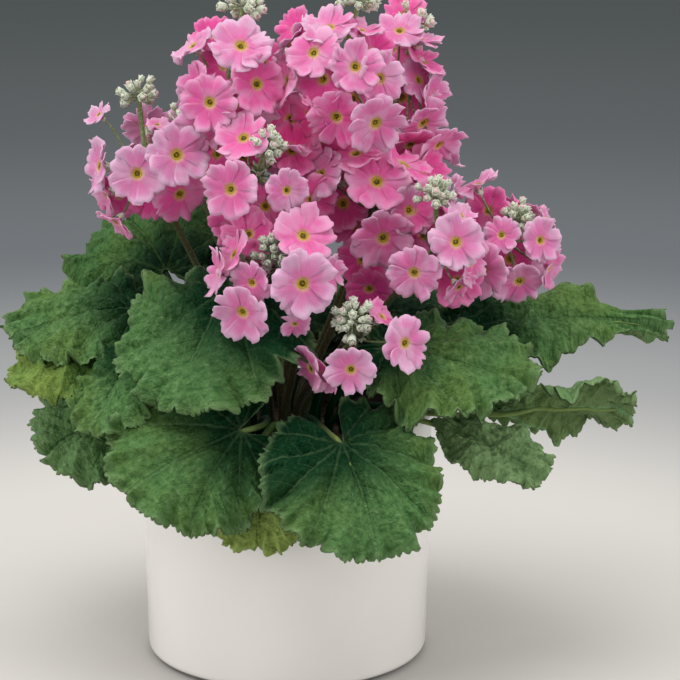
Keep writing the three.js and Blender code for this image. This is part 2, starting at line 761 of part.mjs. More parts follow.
// Flowers of the far side, spread over a sweep of bearings in two rows
function farFlowers(head, index) {
  const [count, from, to] = head.behind;
  const random = seeded(701 + index);
  return Array.from({ length: count }, (_, i) => {
    const climb = i % 2 === 0 ? FAR_UPPER_ROW : FAR_LOWER_ROW;
    const direction = onRing([lerp(from, to, (i + 0.5) / count), Math.sqrt(1 - climb * climb)], climb);
    const offset = direction.multiplyScalar(FAR_REACH + FAR_PLAY * random());
    const diameter = FAR_DIAMETER + FAR_PLAY * random();
    return { offset, facing: leaning(offset, UP, SKY_LEAN), diameter, pattern: ROUNDED };
  });
}

function headSolid(head, index) {
  const run = nearestRun(SCAPES.find((scape) => scape.name === head.scape), vector(head.at));
  const flowers = [
    ...head.blooms.map(openFlower),
    ...head.shaded.map(shadedFlower),
    ...farFlowers(head, index),
  ];
  const solids = flowers.map(({ offset, facing, diameter, pattern }) => {
    const outward = offset.clone().addScaledVector(run.axis, -offset.dot(run.axis)).normalize();
    const root = run.foot.clone().addScaledVector(outward, PEDICEL_ROOT);
    return flower(root, vector(head.at).add(offset), facing, diameter, pattern);
  });
  return solids.reduce((solid, one) => solid.add(one), collar(run));
}

const plant = new THREE.Group();
plant.name = 'potted_primrose';
plant.add(meshOf('pot', pot(), 'pot'));
plant.add(meshOf('soil', mix(), 'mix'));
LEAVES.forEach((leaf) => plant.add(meshOf(leaf.name, leafSolid(leaf), leaf.tone)));
SCAPES.forEach((scape, index) => plant.add(meshOf(scape.name, scapeSolid(scape, index), 'scape')));
HEADS.forEach((head, index) => plant.add(meshOf(head.name, headSolid(head, index), 'petal')));

export default plant;
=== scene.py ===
"""Potted primrose: glazed pot, potting mix, frilled leaves, and whorls of pink flowers and mealy buds."""
import logging
from bisect import bisect_left
from dataclasses import dataclass, field
from enum import Enum
from functools import reduce
from itertools import accumulate
from math import acos, atan2, cos, degrees, exp, hypot, pi, radians, sin, sqrt
from typing import Callable

import bmesh
import bpy
from bpy.types import Material, Mesh, NodeSocket, Object
from mathutils import Matrix, Vector, noise


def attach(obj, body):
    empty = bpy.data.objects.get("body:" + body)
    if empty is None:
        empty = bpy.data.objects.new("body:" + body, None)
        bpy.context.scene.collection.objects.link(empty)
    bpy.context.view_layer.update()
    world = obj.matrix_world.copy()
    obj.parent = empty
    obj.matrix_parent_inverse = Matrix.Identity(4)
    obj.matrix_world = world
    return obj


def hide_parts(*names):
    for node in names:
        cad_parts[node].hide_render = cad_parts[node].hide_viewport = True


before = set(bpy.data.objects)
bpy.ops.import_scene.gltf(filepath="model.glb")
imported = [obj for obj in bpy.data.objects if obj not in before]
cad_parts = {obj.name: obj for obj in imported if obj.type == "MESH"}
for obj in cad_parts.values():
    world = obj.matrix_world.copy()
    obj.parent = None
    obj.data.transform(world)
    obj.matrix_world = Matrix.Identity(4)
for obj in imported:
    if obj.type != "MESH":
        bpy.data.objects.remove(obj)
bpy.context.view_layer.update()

LOG = logging.getLogger("primrose")

Triple = tuple[float, float, float]
Colour = tuple[float, float, float, float]
Surface = Callable[[float, float], Vector]
Verts = list[bmesh.types.BMVert]

MM = 0.001
TURN = 2 * pi
ORIGIN = Vector()
RIGHT = Vector((1, 0, 0))
UP = Vector((0, 0, 1))

# Heights of the stalks' feet in the mix and of where they leave it, in millimetres.
FOOT_Z = 91.0
MIX_Z = 107.0

# The camera: how far it looks down, what it aims at and from how far, in millimetres.
SIGHT_DIP = radians(15)
SIGHT_UP = Vector((0, sin(SIGHT_DIP), cos(SIGHT_DIP)))
TOWARD = Vector((0, -cos(SIGHT_DIP), sin(SIGHT_DIP)))
AIM = Vector((24.5, 0, 146))
AFAR = 1500.0

# First seeds of the random numbers: crumbs, corollas, stalks, whorls, their far sides and fillers.
SEED_CRUMBS, SEED_COROLLAS, SEED_STALKS, SEED_WHORLS, SEED_FAR, SEED_FILLERS = 7, 31, 101, 401, 701, 907

# Turn from one to the next in a spiral, in degrees and in radians.
SPIRAL_DEGREES, SPIRAL = 137.5, 2.4


def lerp(a: float, b: float, t: float) -> float:
    """Value a share t of the way from a to b."""
    return a + (b - a) * t


def limit(value: float, low: float, high: float) -> float:
    """Value held between two bounds."""
    return min(max(value, low), high)


def ease(low: float, high: float, value: float) -> float:
    """Smooth step from 0 at low to 1 at high."""
    t = limit((value - low) / (high - low), 0.0, 1.0)
    return t * t * (3 - 2 * t)


def bell(value: float, width: float) -> float:
    """Bell curve, 1 at 0 and falling off over a width."""
    return exp(-((value / width) ** 2))


def ripple(value: float, period: float) -> float:
    """Distance from a value to the nearest whole multiple of a period."""
    return abs((value / period + 0.5) % 1.0 - 0.5) * period


def row_at(rows: list[Triple], share: float) -> Triple:
    """Row of a section at a share along it."""
    return rows[round(share * (len(rows) - 1))]


def polar(radius: float, angle: float, z: float) -> Vector:
    """Point at a radius and an angle round the upright axis."""
    return Vector((radius * cos(angle), radius * sin(angle), z))


def on_ring(bearing: float, radius: float, z: float) -> Vector:
    """Point at a bearing in degrees and a radius from the pot's axis."""
    return polar(radius, radians(bearing), z)


def about(centre: Vector, u: Vector, v: Vector, radius: float, angle: float) -> Vector:
    """Point at an angle on a circle spanned by u and v."""
    return centre + u * (radius * cos(angle)) + v * (radius * sin(angle))


def cross_axes(axis: Vector) -> tuple[Vector, Vector]:
    """Two directions square to an axis and to each other."""
    u = (RIGHT if abs(axis.z) > 0.9 else UP).cross(axis).normalized()
    return u, axis.cross(u)


def placed(centre: Vector, axes: tuple[Vector, Vector, Vector], size: float) -> Matrix:
    """Placing of a form by its middle, its three axes and its size."""
    return Matrix.Translation(centre) @ Matrix(axes).transposed().to_4x4() @ Matrix.Scale(size, 4)


def facing_matrix(centre: Vector, facing: Vector, size: float, turn: float) -> Matrix:
    """Placing that turns +Z to a direction, with a size and a turn about it."""
    side = about(ORIGIN, *cross_axes(facing), 1, turn)
    return placed(centre, (side, facing.cross(side), facing), size)


def in_picture(point: Vector, right: float = 0, up: float = 0, near: float = 0) -> Vector:
    """Place that the camera sees at a place's level picture, moved by steps in the picture.

    Args:
        point: The place, as drawn without perspective.
        right: Step to the right.
        up: Step upwards.
        near: Step towards the camera.

    Returns:
        The place in space.
    """
    off = point - AIM
    near += off.dot(TOWARD)
    flat = RIGHT * (off.dot(RIGHT) + right) + SIGHT_UP * (off.dot(SIGHT_UP) + up)
    return AIM + flat * (1 - near / AFAR) + TOWARD * near


def add_object(name: str, data: bpy.types.ID) -> Object:
    """Add an object to the scene.

    Args:
        name: Its name.
        data: Its mesh, light or camera.

    Returns:
        The object, at the origin.
    """
    obj = bpy.data.objects.new(name, data)
    bpy.context.scene.collection.objects.link(obj)
    return obj


class Dice:
    """Repeatable random numbers from a whole-number seed."""

    def __init__(self, seed: int) -> None:
        """Start from a seed."""
        self.state = seed & 0xFFFFFFFF

    def roll(self) -> float:
        """Next number from 0 to 1."""
        self.state = (self.state * 1664525 + 1013904223) & 0xFFFFFFFF
        return self.state / 4294967296

    def spread(self, low: float, high: float) -> float:
        """Next number from low to high."""
        return lerp(low, high, self.roll())


class Track:
    """Smooth line through points, measured along its length."""

    def __init__(self, points: list[Vector]) -> None:
        """Keep the points and the length up to each."""
        self.points = points
        self.reach = [0.0, *accumulate((b - a).length for a, b in zip(points, points[1:]))]

    @classmethod
    def climb(cls, marks: list[Vector], steps: int = 24) -> "Track":
        """Centripetal curve through marks, blended in three levels between each two.

        Args:
            marks: Points that the curve passes through.
            steps: Straight steps between two marks.

        Returns:
            The track of the curve.
        """
        levels = (((0, 1), (1, 2), (2, 3)), ((0, 2), (1, 3)), ((1, 2),))
        ends = [marks[0] * 2 - marks[1], *marks, marks[-1] * 2 - marks[-2]]
        points = [marks[0].copy()]
        for four in zip(ends, ends[1:], ends[2:], ends[3:]):
            roots = (max((q - p).length, 1e-4) ** 0.5 for p, q in zip(four, four[1:]))
            k = [0.0, *accumulate(roots)]
            for step in range(1, steps + 1):
                t = lerp(k[1], k[2], step / steps)
                made = four
                for level in levels:
                    made = [
                        p * ((k[j] - t) / (k[j] - k[i])) + q * ((t - k[i]) / (k[j] - k[i]))
                        for p, q, (i, j) in zip(made, made[1:], level)
                    ]
                points.append(made[0])
        return cls(points)

    @classmethod
    def arch(cls, a: Vector, b: Vector, c: Vector, d: Vector, steps: int = 16) -> "Track":
        """Cubic curve from a to d, pulled by b and c."""
        pairs = [(1 - i / steps, i / steps) for i in range(steps + 1)]
        return cls([a * s**3 + b * (3 * s * s * t) + c * (3 * s * t * t) + d * t**3 for s, t in pairs])

    def at(self, share: float) -> Vector:
        """Find a point of the track.

        Args:
            share: Share of the length, held between 0 and 1.

        Returns:
            The point.
        """
        want = limit(share, 0.0, 1.0) * self.reach[-1]
        i = min(bisect_left(self.reach, want, 1), len(self.reach) - 1) - 1
        span = max(self.reach[i + 1] - self.reach[i], 1e-9)
        return self.points[i].lerp(self.points[i + 1], (want - self.reach[i]) / span)

    def nearest(self, target: Vector) -> tuple[Vector, Vector]:
        """Find the point of the track that is nearest to a target.

        Args:
            target: The target.

        Returns:
            The point and the track's direction there.
        """
        best = min(range(len(self.points)), key=lambda i: (self.points[i] - target).length)
        low, high = max(best - 2, 0), min(best + 2, len(self.points) - 1)
        return self.points[best], (self.points[high] - self.points[low]).normalized()


class Form:
    """A bmesh in millimetres, made of operator shapes, with the point data that the finishes read."""

    def __init__(self, *data: str) -> None:
        """Start an empty form with named vector layers."""
        self.bm = bmesh.new()
        self.data = {name: self.bm.verts.layers.float_vector.new(name) for name in data}

    def grid(self, columns: int, rows: int, place: Surface, **data: Surface) -> Verts:
        """Lay a grid over a surface and close the seams and poles where it meets itself.

        Args:
            columns: Faces across.
            rows: Faces along.
            place: Gives the point for a share across and a share along.
            data: Gives a layer's vector for the same two shares.

        Returns:
            The grid's vertices.
        """
        verts = bmesh.ops.create_grid(self.bm, x_segments=columns, y_segments=rows, size=0.5)["verts"]
        for vert in verts:
            u = round((vert.co.x + 0.5) * columns) / columns
            v = round((vert.co.y + 0.5) * rows) / rows
            vert.co = place(u, v)
            for name, value in data.items():
                vert[self.data[name]] = value(u, v)
        bmesh.ops.remove_doubles(self.bm, verts=verts, dist=1e-4)
        return [vert for vert in verts if vert.is_valid]

    def tube(self, track: Track, radius: Callable[[float], float], sides: int, rows: int) -> Verts:
        """Sweep a round section along a track, closed at both ends.

        Args:
            track: The centre line.
            radius: Gives the radius for a share of the length.
            sides: Faces round the tube.
            rows: Faces along the tube.

        Returns:
            The tube's vertices.
        """
        stations = []
        side = None
        for i in range(rows + 1):
            t = i / rows
            axis = (track.at(t + 0.5 / rows) - track.at(t - 0.5 / rows)).normalized()
            side = cross_axes(axis)[0] if side is None else (side - axis * side.dot(axis)).normalized()
            stations.append((track.at(t), side.copy(), axis.cross(side)))

        def place(u: float, v: float) -> Vector:
            """Give a point of the tube, pinched to the centre line at its ends.

            Args:
                u: Share round the tube.
                v: Share along it, with a row for each end.

            Returns:
                The point.
            """
            ring = round(v * (rows + 2)) - 1
            row = limit(ring, 0, rows)
            wide = radius(row / rows) if row == ring else 0.0
            return about(*stations[row], wide, -TURN * u)

        return self.grid(sides, rows + 2, place)

    def faces_on(self, verts: Verts) -> list[bmesh.types.BMFace]:
        """Faces that start on some vertices."""
        known = set(verts)
        return [face for face in self.bm.faces if face.verts[0] in known]

    def turn_out(self, verts: Verts | None = None) -> None:
        """Turn the faces on some vertices, or all of them, outwards."""
        faces = self.bm.faces[:] if verts is None else self.faces_on(verts)
        bmesh.ops.recalc_face_normals(self.bm, faces=faces)

    def wall(self, verts: Verts, thickness: float) -> Verts:
        """Give a sheet its thickness on its lower side.

        Args:
            verts: The sheet's vertices.
            thickness: How thick the wall is.

        Returns:
            The new vertices.
        """
        faces = self.faces_on(verts)
        self.bm.normal_update()
        inward = {vert.co.to_tuple(6): vert.normal * -thickness for vert in verts}
        made = bmesh.ops.extrude_face_region(self.bm, geom=faces, use_keep_orig=True)["geom"]
        lower = [item for item in made if isinstance(item, bmesh.types.BMVert)]
        for vert in lower:
            vert.co += inward[vert.co.to_tuple(6)]
        self.turn_out([*verts, *lower])
        return lower

    def mark(self, verts: Verts, name: str, value: Triple) -> None:
        """Write a layer's vector on vertices."""
        for vert in verts:
            vert[self.data[name]] = value

    def stamp(self, mesh: Mesh, place: Matrix, **data: Triple) -> None:
        """Add a copy of a mesh at a place, with one vector for a whole layer.

        Args:
            mesh: The template.
            place: Where it goes.
            data: Vectors by layer name.
        """
        copy = mesh.copy()
        copy.transform(place)
        for name, value in data.items():
            copy.attributes[name].data.foreach_set("vector", value * len(copy.vertices))
        self.bm.from_mesh(copy)
        bpy.data.meshes.remove(copy)

    def mesh(self, name: str) -> Mesh:
        """Turn the form into a mesh, and let the form go.

        Args:
            name: The mesh's name.

        Returns:
            The mesh, in the form's own unit.
        """
        mesh = bpy.data.meshes.new(name)
        self.bm.to_mesh(mesh)
        self.bm.free()
        return mesh

    def piece(self, name: str, finish: Material, node: str) -> None:
        """Turn the form into a finished piece, in metres, that rides on the plant.

        Args:
            name: The piece's name.
            finish: Its material.
            node: The CAD node it stands for.
        """
        bmesh.ops.scale(self.bm, vec=(MM, MM, MM), verts=self.bm.verts)
        for face in self.bm.faces:
            face.smooth = True
        mesh = self.mesh(name)
        mesh.materials.append(finish)
        obj = add_object(name, mesh)
        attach(obj, "root")
        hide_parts(node)
        LOG.info("%s: %d faces", name, len(mesh.polygons))


class Signal:
    """A shader socket that takes part in Python expressions on values."""

    def __init__(self, sheet: "Sheet", socket: NodeSocket) -> None:
        """Wrap a socket of a sheet's node tree."""
        self.sheet = sheet
        self.socket = socket

    def math(self, operation: str, *others: "Signal | float") -> "Signal":
        """Result of a Math node on this value and others."""
        return self.sheet.node("ShaderNodeMath", {"operation": operation}, dict(enumerate((self, *others))))

    def __add__(self, other: "Signal | float") -> "Signal":
        """Sum."""
        return self.math("ADD", other)

    __radd__ = __add__

    def __mul__(self, other: "Signal | float") -> "Signal":
        """Product."""
        return self.math("MULTIPLY", other)

    __rmul__ = __mul__

    def __sub__(self, other: "Signal | float") -> "Signal":
        """Difference."""
        return self.math("SUBTRACT", other)

    def __rsub__(self, other: float) -> "Signal":
        """Difference from a number."""
        return self * -1.0 + other

    def __pow__(self, other: float) -> "Signal":
        """Power."""
        return self.math("POWER", other)

    def __abs__(self) -> "Signal":
        """Absolute value."""
        return self.math("ABSOLUTE")

    def step(self, low: float, high: float) -> "Signal":
        """Smooth step from 0 at low to 1 at high."""
        inputs = {"Value": self, "From Min": low, "From Max": high}
        return self.sheet.node("ShaderNodeMapRange", {"interpolation_type": "SMOOTHSTEP"}, inputs)

    def fold(self, period: float) -> "Signal":
        """Distance to the nearest whole multiple of a period."""
        return self.math("PINGPONG", period * 0.5)


class Sheet:
    """The node tree of one finish."""

    def __init__(self, name: str) -> None:
        """Make a material with its principled shader.

        Args:
            name: The material's name.
        """
        self.material = bpy.data.materials.new(name)
        self.material.use_nodes = True
        self.tree = self.material.node_tree
        self.shader = self.tree.nodes["Principled BSDF"]

    def node(self, kind: str, settings: dict, inputs: dict, output: int | str = 0) -> Signal:
        """Add a node.

        Args:
            kind: The node's type.
            settings: Its properties, set first.
            inputs: Values or signals by socket name or number.
            output: Which output to return.

        Returns:
            The output as a signal.
        """
        made = self.tree.nodes.new(kind)
        for key, value in settings.items():
            setattr(made, key, value)
        for key, value in inputs.items():
            self.feed(made.inputs[key], value)
        return Signal(self, made.outputs[output])

    def feed(self, socket: NodeSocket, value: object) -> None:
        """Link a signal to a socket, or set the socket's value.

        Args:
            socket: The socket.
            value: The signal or the value.
        """
        if isinstance(value, Signal):
            self.tree.links.new(value.socket, socket)
        else:
            socket.default_value = value

    def set(self, **values: object) -> Material:
        """Feed the principled shader's sockets, named with underscores for spaces, and give the material.

        Args:
            values: Values or signals by socket name.

        Returns:
            The material.
        """
        for key, value in values.items():
            self.feed(self.shader.inputs[key.replace("_", " ")], value)
        return self.material

    def parts(self, vector: Signal) -> list[Signal]:
        """Three values of a vector."""
        first = self.node("ShaderNodeSeparateXYZ", {}, {0: vector})
        return [Signal(self, output) for output in first.socket.node.outputs]

    def point_data(self, name: str) -> list[Signal]:
        """Three values of a point layer and the whole vector."""
        vector = self.node("ShaderNodeAttribute", {"attribute_name": name}, {}, "Vector")
        return [*self.parts(vector), vector]

    def place(self) -> Signal:
        """Object coordinates."""
        return self.node("ShaderNodeTexCoord", {}, {}, "Object")

    def length(self, vector: Signal) -> Signal:
        """Length of a vector."""
        return self.node("ShaderNodeVectorMath", {"operation": "LENGTH"}, {0: vector}, "Value")

    def from_axis(self) -> Signal:
        """Distance from the pot's axis in metres."""
        inputs = {0: self.place(), 1: (1, 1, 0)}
        return self.length(self.node("ShaderNodeVectorMath", {"operation": "MULTIPLY"}, inputs))

    def cloud(self, vector: Signal, scale: float, detail: float) -> Signal:
        """Soft noise from 0 to 1."""
        return self.node("ShaderNodeTexNoise", {}, {"Vector": vector, "Scale": scale, "Detail": detail})

    def cells(self, vector: Signal, scale: float, feature: str = "F1") -> Signal:
        """Distance inside a pattern of cells."""
        inputs = {"Vector": vector, "Scale": scale}
        return self.node("ShaderNodeTexVoronoi", {"feature": feature}, inputs, "Distance")

    def blend(self, a: object, b: object, share: Signal | float) -> Signal:
        """Mix of two colours."""
        return self.node("ShaderNodeMix", {"data_type": "RGBA"}, {0: share, 6: a, 7: b}, 2)

    def coats(self, base: object, *coats: tuple[object, Signal]) -> Signal:
        """Base colour under some coats, each a colour and its share."""
        return reduce(lambda under, coat: self.blend(under, *coat), coats, base)

    def bump(self, height: Signal, distance: float, strength: float) -> Signal:
        """Normal of a relief of a height in metres."""
        return self.node("ShaderNodeBump", {}, {"Strength": strength, "Distance": distance, "Height": height})


def tint(red: float, green: float, blue: float) -> Colour:
    """Opaque linear colour."""
    return (red, green, blue, 1.0)


@dataclass(frozen=True)
class GlazeFinish:
    """White gloss glaze with the faint unevenness of a fired coat, its inner wall painted near-black as
    shade.
    """

    body: Colour = tint(0.86, 0.835, 0.805)
    pooled: Colour = tint(0.79, 0.76, 0.725)
    speck: Colour = tint(0.60, 0.57, 0.52)
    # Near-black painted shade for the inner wall, and the radii from the axis over which it comes in.
    peat: Colour = tint(0.035, 0.028, 0.018)
    inner: tuple[float, float] = (0.0636, 0.0628)

    def make(self) -> Material:
        """Build the material.

        Returns:
            The pot's material.
        """
        sheet = Sheet("pot_glaze")
        place = sheet.place()
        drift = sheet.cloud(place, 9.0, 2.0)
        peel = sheet.cloud(place, 160.0, 2.0)
        specks = sheet.cells(place, 420.0).step(0.09, 0.04)
        # Painted shade: the inner wall takes a near-black coat in place of the shade inside the pot.
        painted_inner_shade = sheet.from_axis().step(*self.inner)
        colour = sheet.coats(
            self.body, (self.pooled, drift.step(0.45, 0.75)), (self.speck, specks * 0.25),
            (self.peat, painted_inner_shade * 0.94),
        )
        sheet.set(Base_Color=colour, Roughness=drift * 0.10 + 0.16, IOR=1.5, Coat_Weight=0.6)
        return sheet.set(Coat_Roughness=0.08, Normal=sheet.bump(peel + drift * 4.0, 0.00012, 0.5))


@dataclass(frozen=True)
class MixFinish:
    """Damp peat with fibres, crumbs and pale flecks."""

    peat: Colour = tint(0.030, 0.019, 0.012)
    dry: Colour = tint(0.105, 0.066, 0.040)
    fleck: Colour = tint(0.52, 0.48, 0.42)

    def make(self) -> Material:
        """Build the material.

        Returns:
            The mix's material.
        """
        sheet = Sheet("potting_mix")
        place = sheet.place()
        clods = sheet.cloud(place, 180.0, 5.0)
        grain = sheet.cells(place, 700.0)
        flecks = sheet.cells(place, 130.0).step(0.16, 0.10)
        colour = sheet.coats(self.peat, (self.dry, clods.step(0.38, 0.70)), (self.fleck, flecks * 0.7))
        relief = sheet.bump(clods + grain * 0.6, 0.0012, 0.8)
        return sheet.set(Base_Color=colour, Roughness=clods * 0.15 + 0.80, Normal=relief)


class Tone(Enum):
    """Colour families of the leaves, named as the record's slots are."""

    GREEN = "leaf_green"
    # Painted shade: a darker copy of the green, given to the leaves at the back.
    DEEP = "leaf_deep"
    LIME = "leaf_lime"


@dataclass(frozen=True)
class Veins:
    """Net of veins fanned out from the petiole, in millimetres and radians, as shape and finish use it."""

    fan: float = 0.56
    slope: float = 0.9
    start: float = 1.5
    gap: float = 6.0


VEINS = Veins()


@dataclass(frozen=True)
class LeafFinish:
    """Quilted hairy leaf with pale veins and a duller underside; painted shade darkens it towards its
    petiole, the plant's axis and its shaded side, and painted highlights lighten its sunny side, its pleats
    and its toothed rim.
    """

    tone: Tone
    face: Colour
    warm: Colour
    shade: Colour
    vein: Colour
    rim: Colour
    stalk: Colour = tint(0.18, 0.26, 0.08)
    back: Colour = tint(0.13, 0.19, 0.070)
    bloom: Colour = tint(0.20, 0.28, 0.14)

    def make(self) -> Material:
        """Build the material.

        Returns:
            The material of the leaves of the tone.
        """
        sheet = Sheet(self.tone.value)
        along, aside, share, spot = sheet.point_data("blade")
        under, stalk, sun, _ = sheet.point_data("part")
        radius = (along * along + aside * aside) ** 0.5
        bearing = aside.math("ARCTAN2", along)
        off = bearing.fold(VEINS.fan)
        main = (radius * off).step(1.0, 0.25)
        branch = (radius - radius * off * VEINS.slope + VEINS.start).fold(VEINS.gap)
        side = branch.step(0.55, 0.10) * 0.75
        net = sheet.cells(spot, 0.50, "DISTANCE_TO_EDGE").step(0.12, 0.02)
        grain = sheet.cells(spot, 0.50, "SMOOTH_F1")
        place = sheet.place()
        patches = sheet.cloud(place, 30.0, 3.0)
        hair = sheet.cloud(place, 900.0, 2.0)
        fan = sheet.node("ShaderNodeCombineXYZ", {}, {0: radius * 0.35, 1: bearing * 15.0})
        streak = sheet.cloud(fan, 1.0, 4.0)
        # Painted shade and light: the face gives way to the shade colour towards the petiole, near the
        # plant's axis and on the shaded side that the sun channel gives.
        painted_axis_shade = sheet.from_axis().step(0.052, 0.028)
        painted_light_share = (radius * 0.020 + sun * 1.30 + patches * 0.60).step(1.02, 2.12)
        warmth = (patches - sheet.cloud(place, 12.0, 2.0) + 0.5).step(0.45, 0.70)
        # Painted highlight: a blade set paler than full light turns towards the rim colour.
        face = sheet.coats(self.face, (self.warm, warmth), (self.rim, (sun - 0.95).step(0.0, 1.0) * 0.8))
        colour = sheet.coats(
            self.shade, (face, painted_light_share * (1.0 - painted_axis_shade * 0.85)),
            (self.vein, main * 0.20 + side * 0.12 + net * 0.05),
            # Painted shade in the pleats' creases, painted highlights on their ridges and a painted highlight
            # along the toothed rim.
            (self.shade, streak.step(0.50, 0.34) * 0.36),
            (self.rim, streak.step(0.52, 0.72) * (painted_light_share * 0.42)),
            (self.rim, share.step(0.90, 1.0) * 0.45),
            (self.back, under * 0.55), (self.vein, under * main * 0.8),
        )
        # Painted shade: petioles darken towards the plant's axis, and the pale hairs show less where the
        # blade is painted shaded.
        petiole = sheet.blend(self.stalk, self.shade, sheet.from_axis().step(0.080, 0.055))
        colour = sheet.coats(colour, (petiole, stalk), (self.bloom, hair.step(0.52, 0.72) * (painted_light_share * 0.08)))
        relief = (1.0 - grain) * 0.9 + streak * 1.6 - main * 0.5 - side * 0.3 - net * 0.20
        relief = relief * (1.0 - under * 1.6) + sheet.cloud(place, 150.0, 3.0) * 1.5 + hair * 0.20
        sheet.set(Normal=sheet.bump(relief, 0.0016, 0.8))
        return sheet.set(Base_Color=colour, Roughness=grain * 0.15 + 0.50, Specular_IOR_Level=0.09)


@dataclass(frozen=True)
class PetalFinish:
    """Pink petals with fine veins and a pale rim round an olive eye; flowers deep in the mass take a painted
    shade of magenta.
    """

    light: Colour = tint(0.72, 0.285, 0.51)
    deep: Colour = tint(0.90, 0.050, 0.32)
    pale: Colour = tint(0.78, 0.53, 0.69)
    gold: Colour = tint(0.50, 0.34, 0.035)
    throat: Colour = tint(0.13, 0.10, 0.016)
    halo: Colour = tint(0.66, 0.43, 0.17)

    def make(self) -> Material:
        """Build the material.

        Returns:
            The corollas' material.
        """
        sheet = Sheet("petal")
        across, along, back, _ = sheet.point_data("petal")
        depth, *_ = sheet.point_data("tone")
        place = sheet.place()
        mottle = sheet.cloud(place, 260.0, 3.0)
        patches = sheet.cloud(place, 95.0, 2.0)
        grain = sheet.cells(place, 900.0)
        lines = (across * (1.5 - along * 0.5) + mottle * 0.08).fold(0.19).step(0.035, 0.012)
        lines = lines * along.step(0.05, 0.30) * along.step(1.0, 0.55)
        rim = along.step(0.60, 1.0).math("MAXIMUM", abs(across).step(0.75, 1.0) * 0.4)
        ray = (across * 1.7 + mottle * 0.3).fold(0.30)
        star = (along + ray * 0.60 + mottle * 0.14).step(0.30, 0.10) * (1.0 - back)
        eye = sheet.coats(
            self.gold, (self.throat, (along + grain * 0.34).step(-0.16, -0.42)),
            (self.halo, along.step(-0.18, -0.07) * 0.6),
        )
        # Painted shade: each flower runs from light pink to deep magenta by its painted shade, with less of
        # the pale rim and patches on shaded ones.
        colour = sheet.coats(
            self.light, (self.deep, depth),
            (self.deep, along.step(0.75, 0.05) * 0.34),
            (self.pale, rim * (0.70 - depth * 0.50)),
            (self.deep, lines * 0.20),
            (self.pale, patches.step(0.46, 0.64) * (0.50 - depth * 0.35)),
            (self.deep, (patches + mottle * 0.3).step(0.56, 0.44) * 0.22),
            (self.pale, back * 0.45), (self.halo, star * 0.85), (eye, along.step(0.0, -0.05)),
        )
        sheet.set(Base_Color=colour, Roughness=mottle * 0.15 + 0.52, Specular_IOR_Level=0.1)
        sheet.set(Subsurface_Weight=0.22, Subsurface_Scale=0.003, Subsurface_Radius=(1.0, 0.35, 0.6))
        return sheet.set(Sheen_Weight=0.04, Normal=sheet.bump(mottle - lines * 0.7, 0.0003, 0.6))


@dataclass(frozen=True)
class StalkFinish:
    """Pale hairy stems with painted shade, near-black low and deep in the crown; buds, calyces and bracts
    dusted white with meal.
    """

    green: Colour = tint(0.19, 0.29, 0.10)
    meal: Colour = tint(0.76, 0.785, 0.665)
    blush: Colour = tint(0.80, 0.42, 0.50)
    brown: Colour = tint(0.10, 0.060, 0.035)
    # Near-black painted shade for the stems low in the crown.
    foot: Colour = tint(0.006, 0.018, 0.007)

    def make(self) -> Material:
        """Build the material.

        Returns:
            The material of the stalks, buds and calyces.
        """
        sheet = Sheet("stem")
        meal, blush, dark, _ = sheet.point_data("stalk")
        place = sheet.place()
        dust = sheet.cloud(place, 1100.0, 3.0)
        drift = sheet.cloud(place, 120.0, 2.0)
        height = sheet.parts(place)[2]
        # Painted shade: the stems darken low down and near the axis, less where they are mealy.
        shaded = height.step(0.240, 0.192) * sheet.from_axis().step(0.090, 0.060)
        colour = sheet.coats(
            self.green, (self.brown, dark * drift.step(0.30, 0.70)),
            (self.meal, (dust + meal * 0.50).step(0.58, 1.00)),
            (self.foot, shaded * (1.0 - meal * 0.8) * 0.95), (self.blush, blush),
        )
        sheet.set(Base_Color=colour, Roughness=dust * 0.15 + 0.70, Specular_IOR_Level=0.12)
        return sheet.set(Sheen_Weight=0.10, Subsurface_Weight=0.05, Normal=sheet.bump(dust, 0.0003, 0.7))


@dataclass(frozen=True)
class StageFinish:
    """Matt studio floor, pale round the pot and painted greyer with distance as the light falls off."""

    near: Colour = tint(0.64, 0.62, 0.59)
    middle: Colour = tint(0.355, 0.360, 0.365)
    grey: Colour = tint(0.142, 0.157, 0.170)
    dusk: Colour = tint(0.097, 0.109, 0.116)
    far: Colour = tint(0.070, 0.083, 0.086)

    def make(self) -> Material:
        """Build the material.

        Returns:
            The floor's material.
        """
        sheet = Sheet("floor")
        distance = sheet.length(sheet.place())
        # Painted fall-off of the light: the floor darkens step by step with distance from the pot.
        colour = sheet.coats(
            self.near, (self.middle, distance.step(0.235, 0.50)), (self.grey, distance.step(0.42, 0.82)),
            (self.dusk, distance.step(0.80, 1.30)), (self.far, distance.step(1.20, 1.90)),
        )
        return sheet.set(Base_Color=colour, Roughness=0.85, Specular_IOR_Level=0.1)


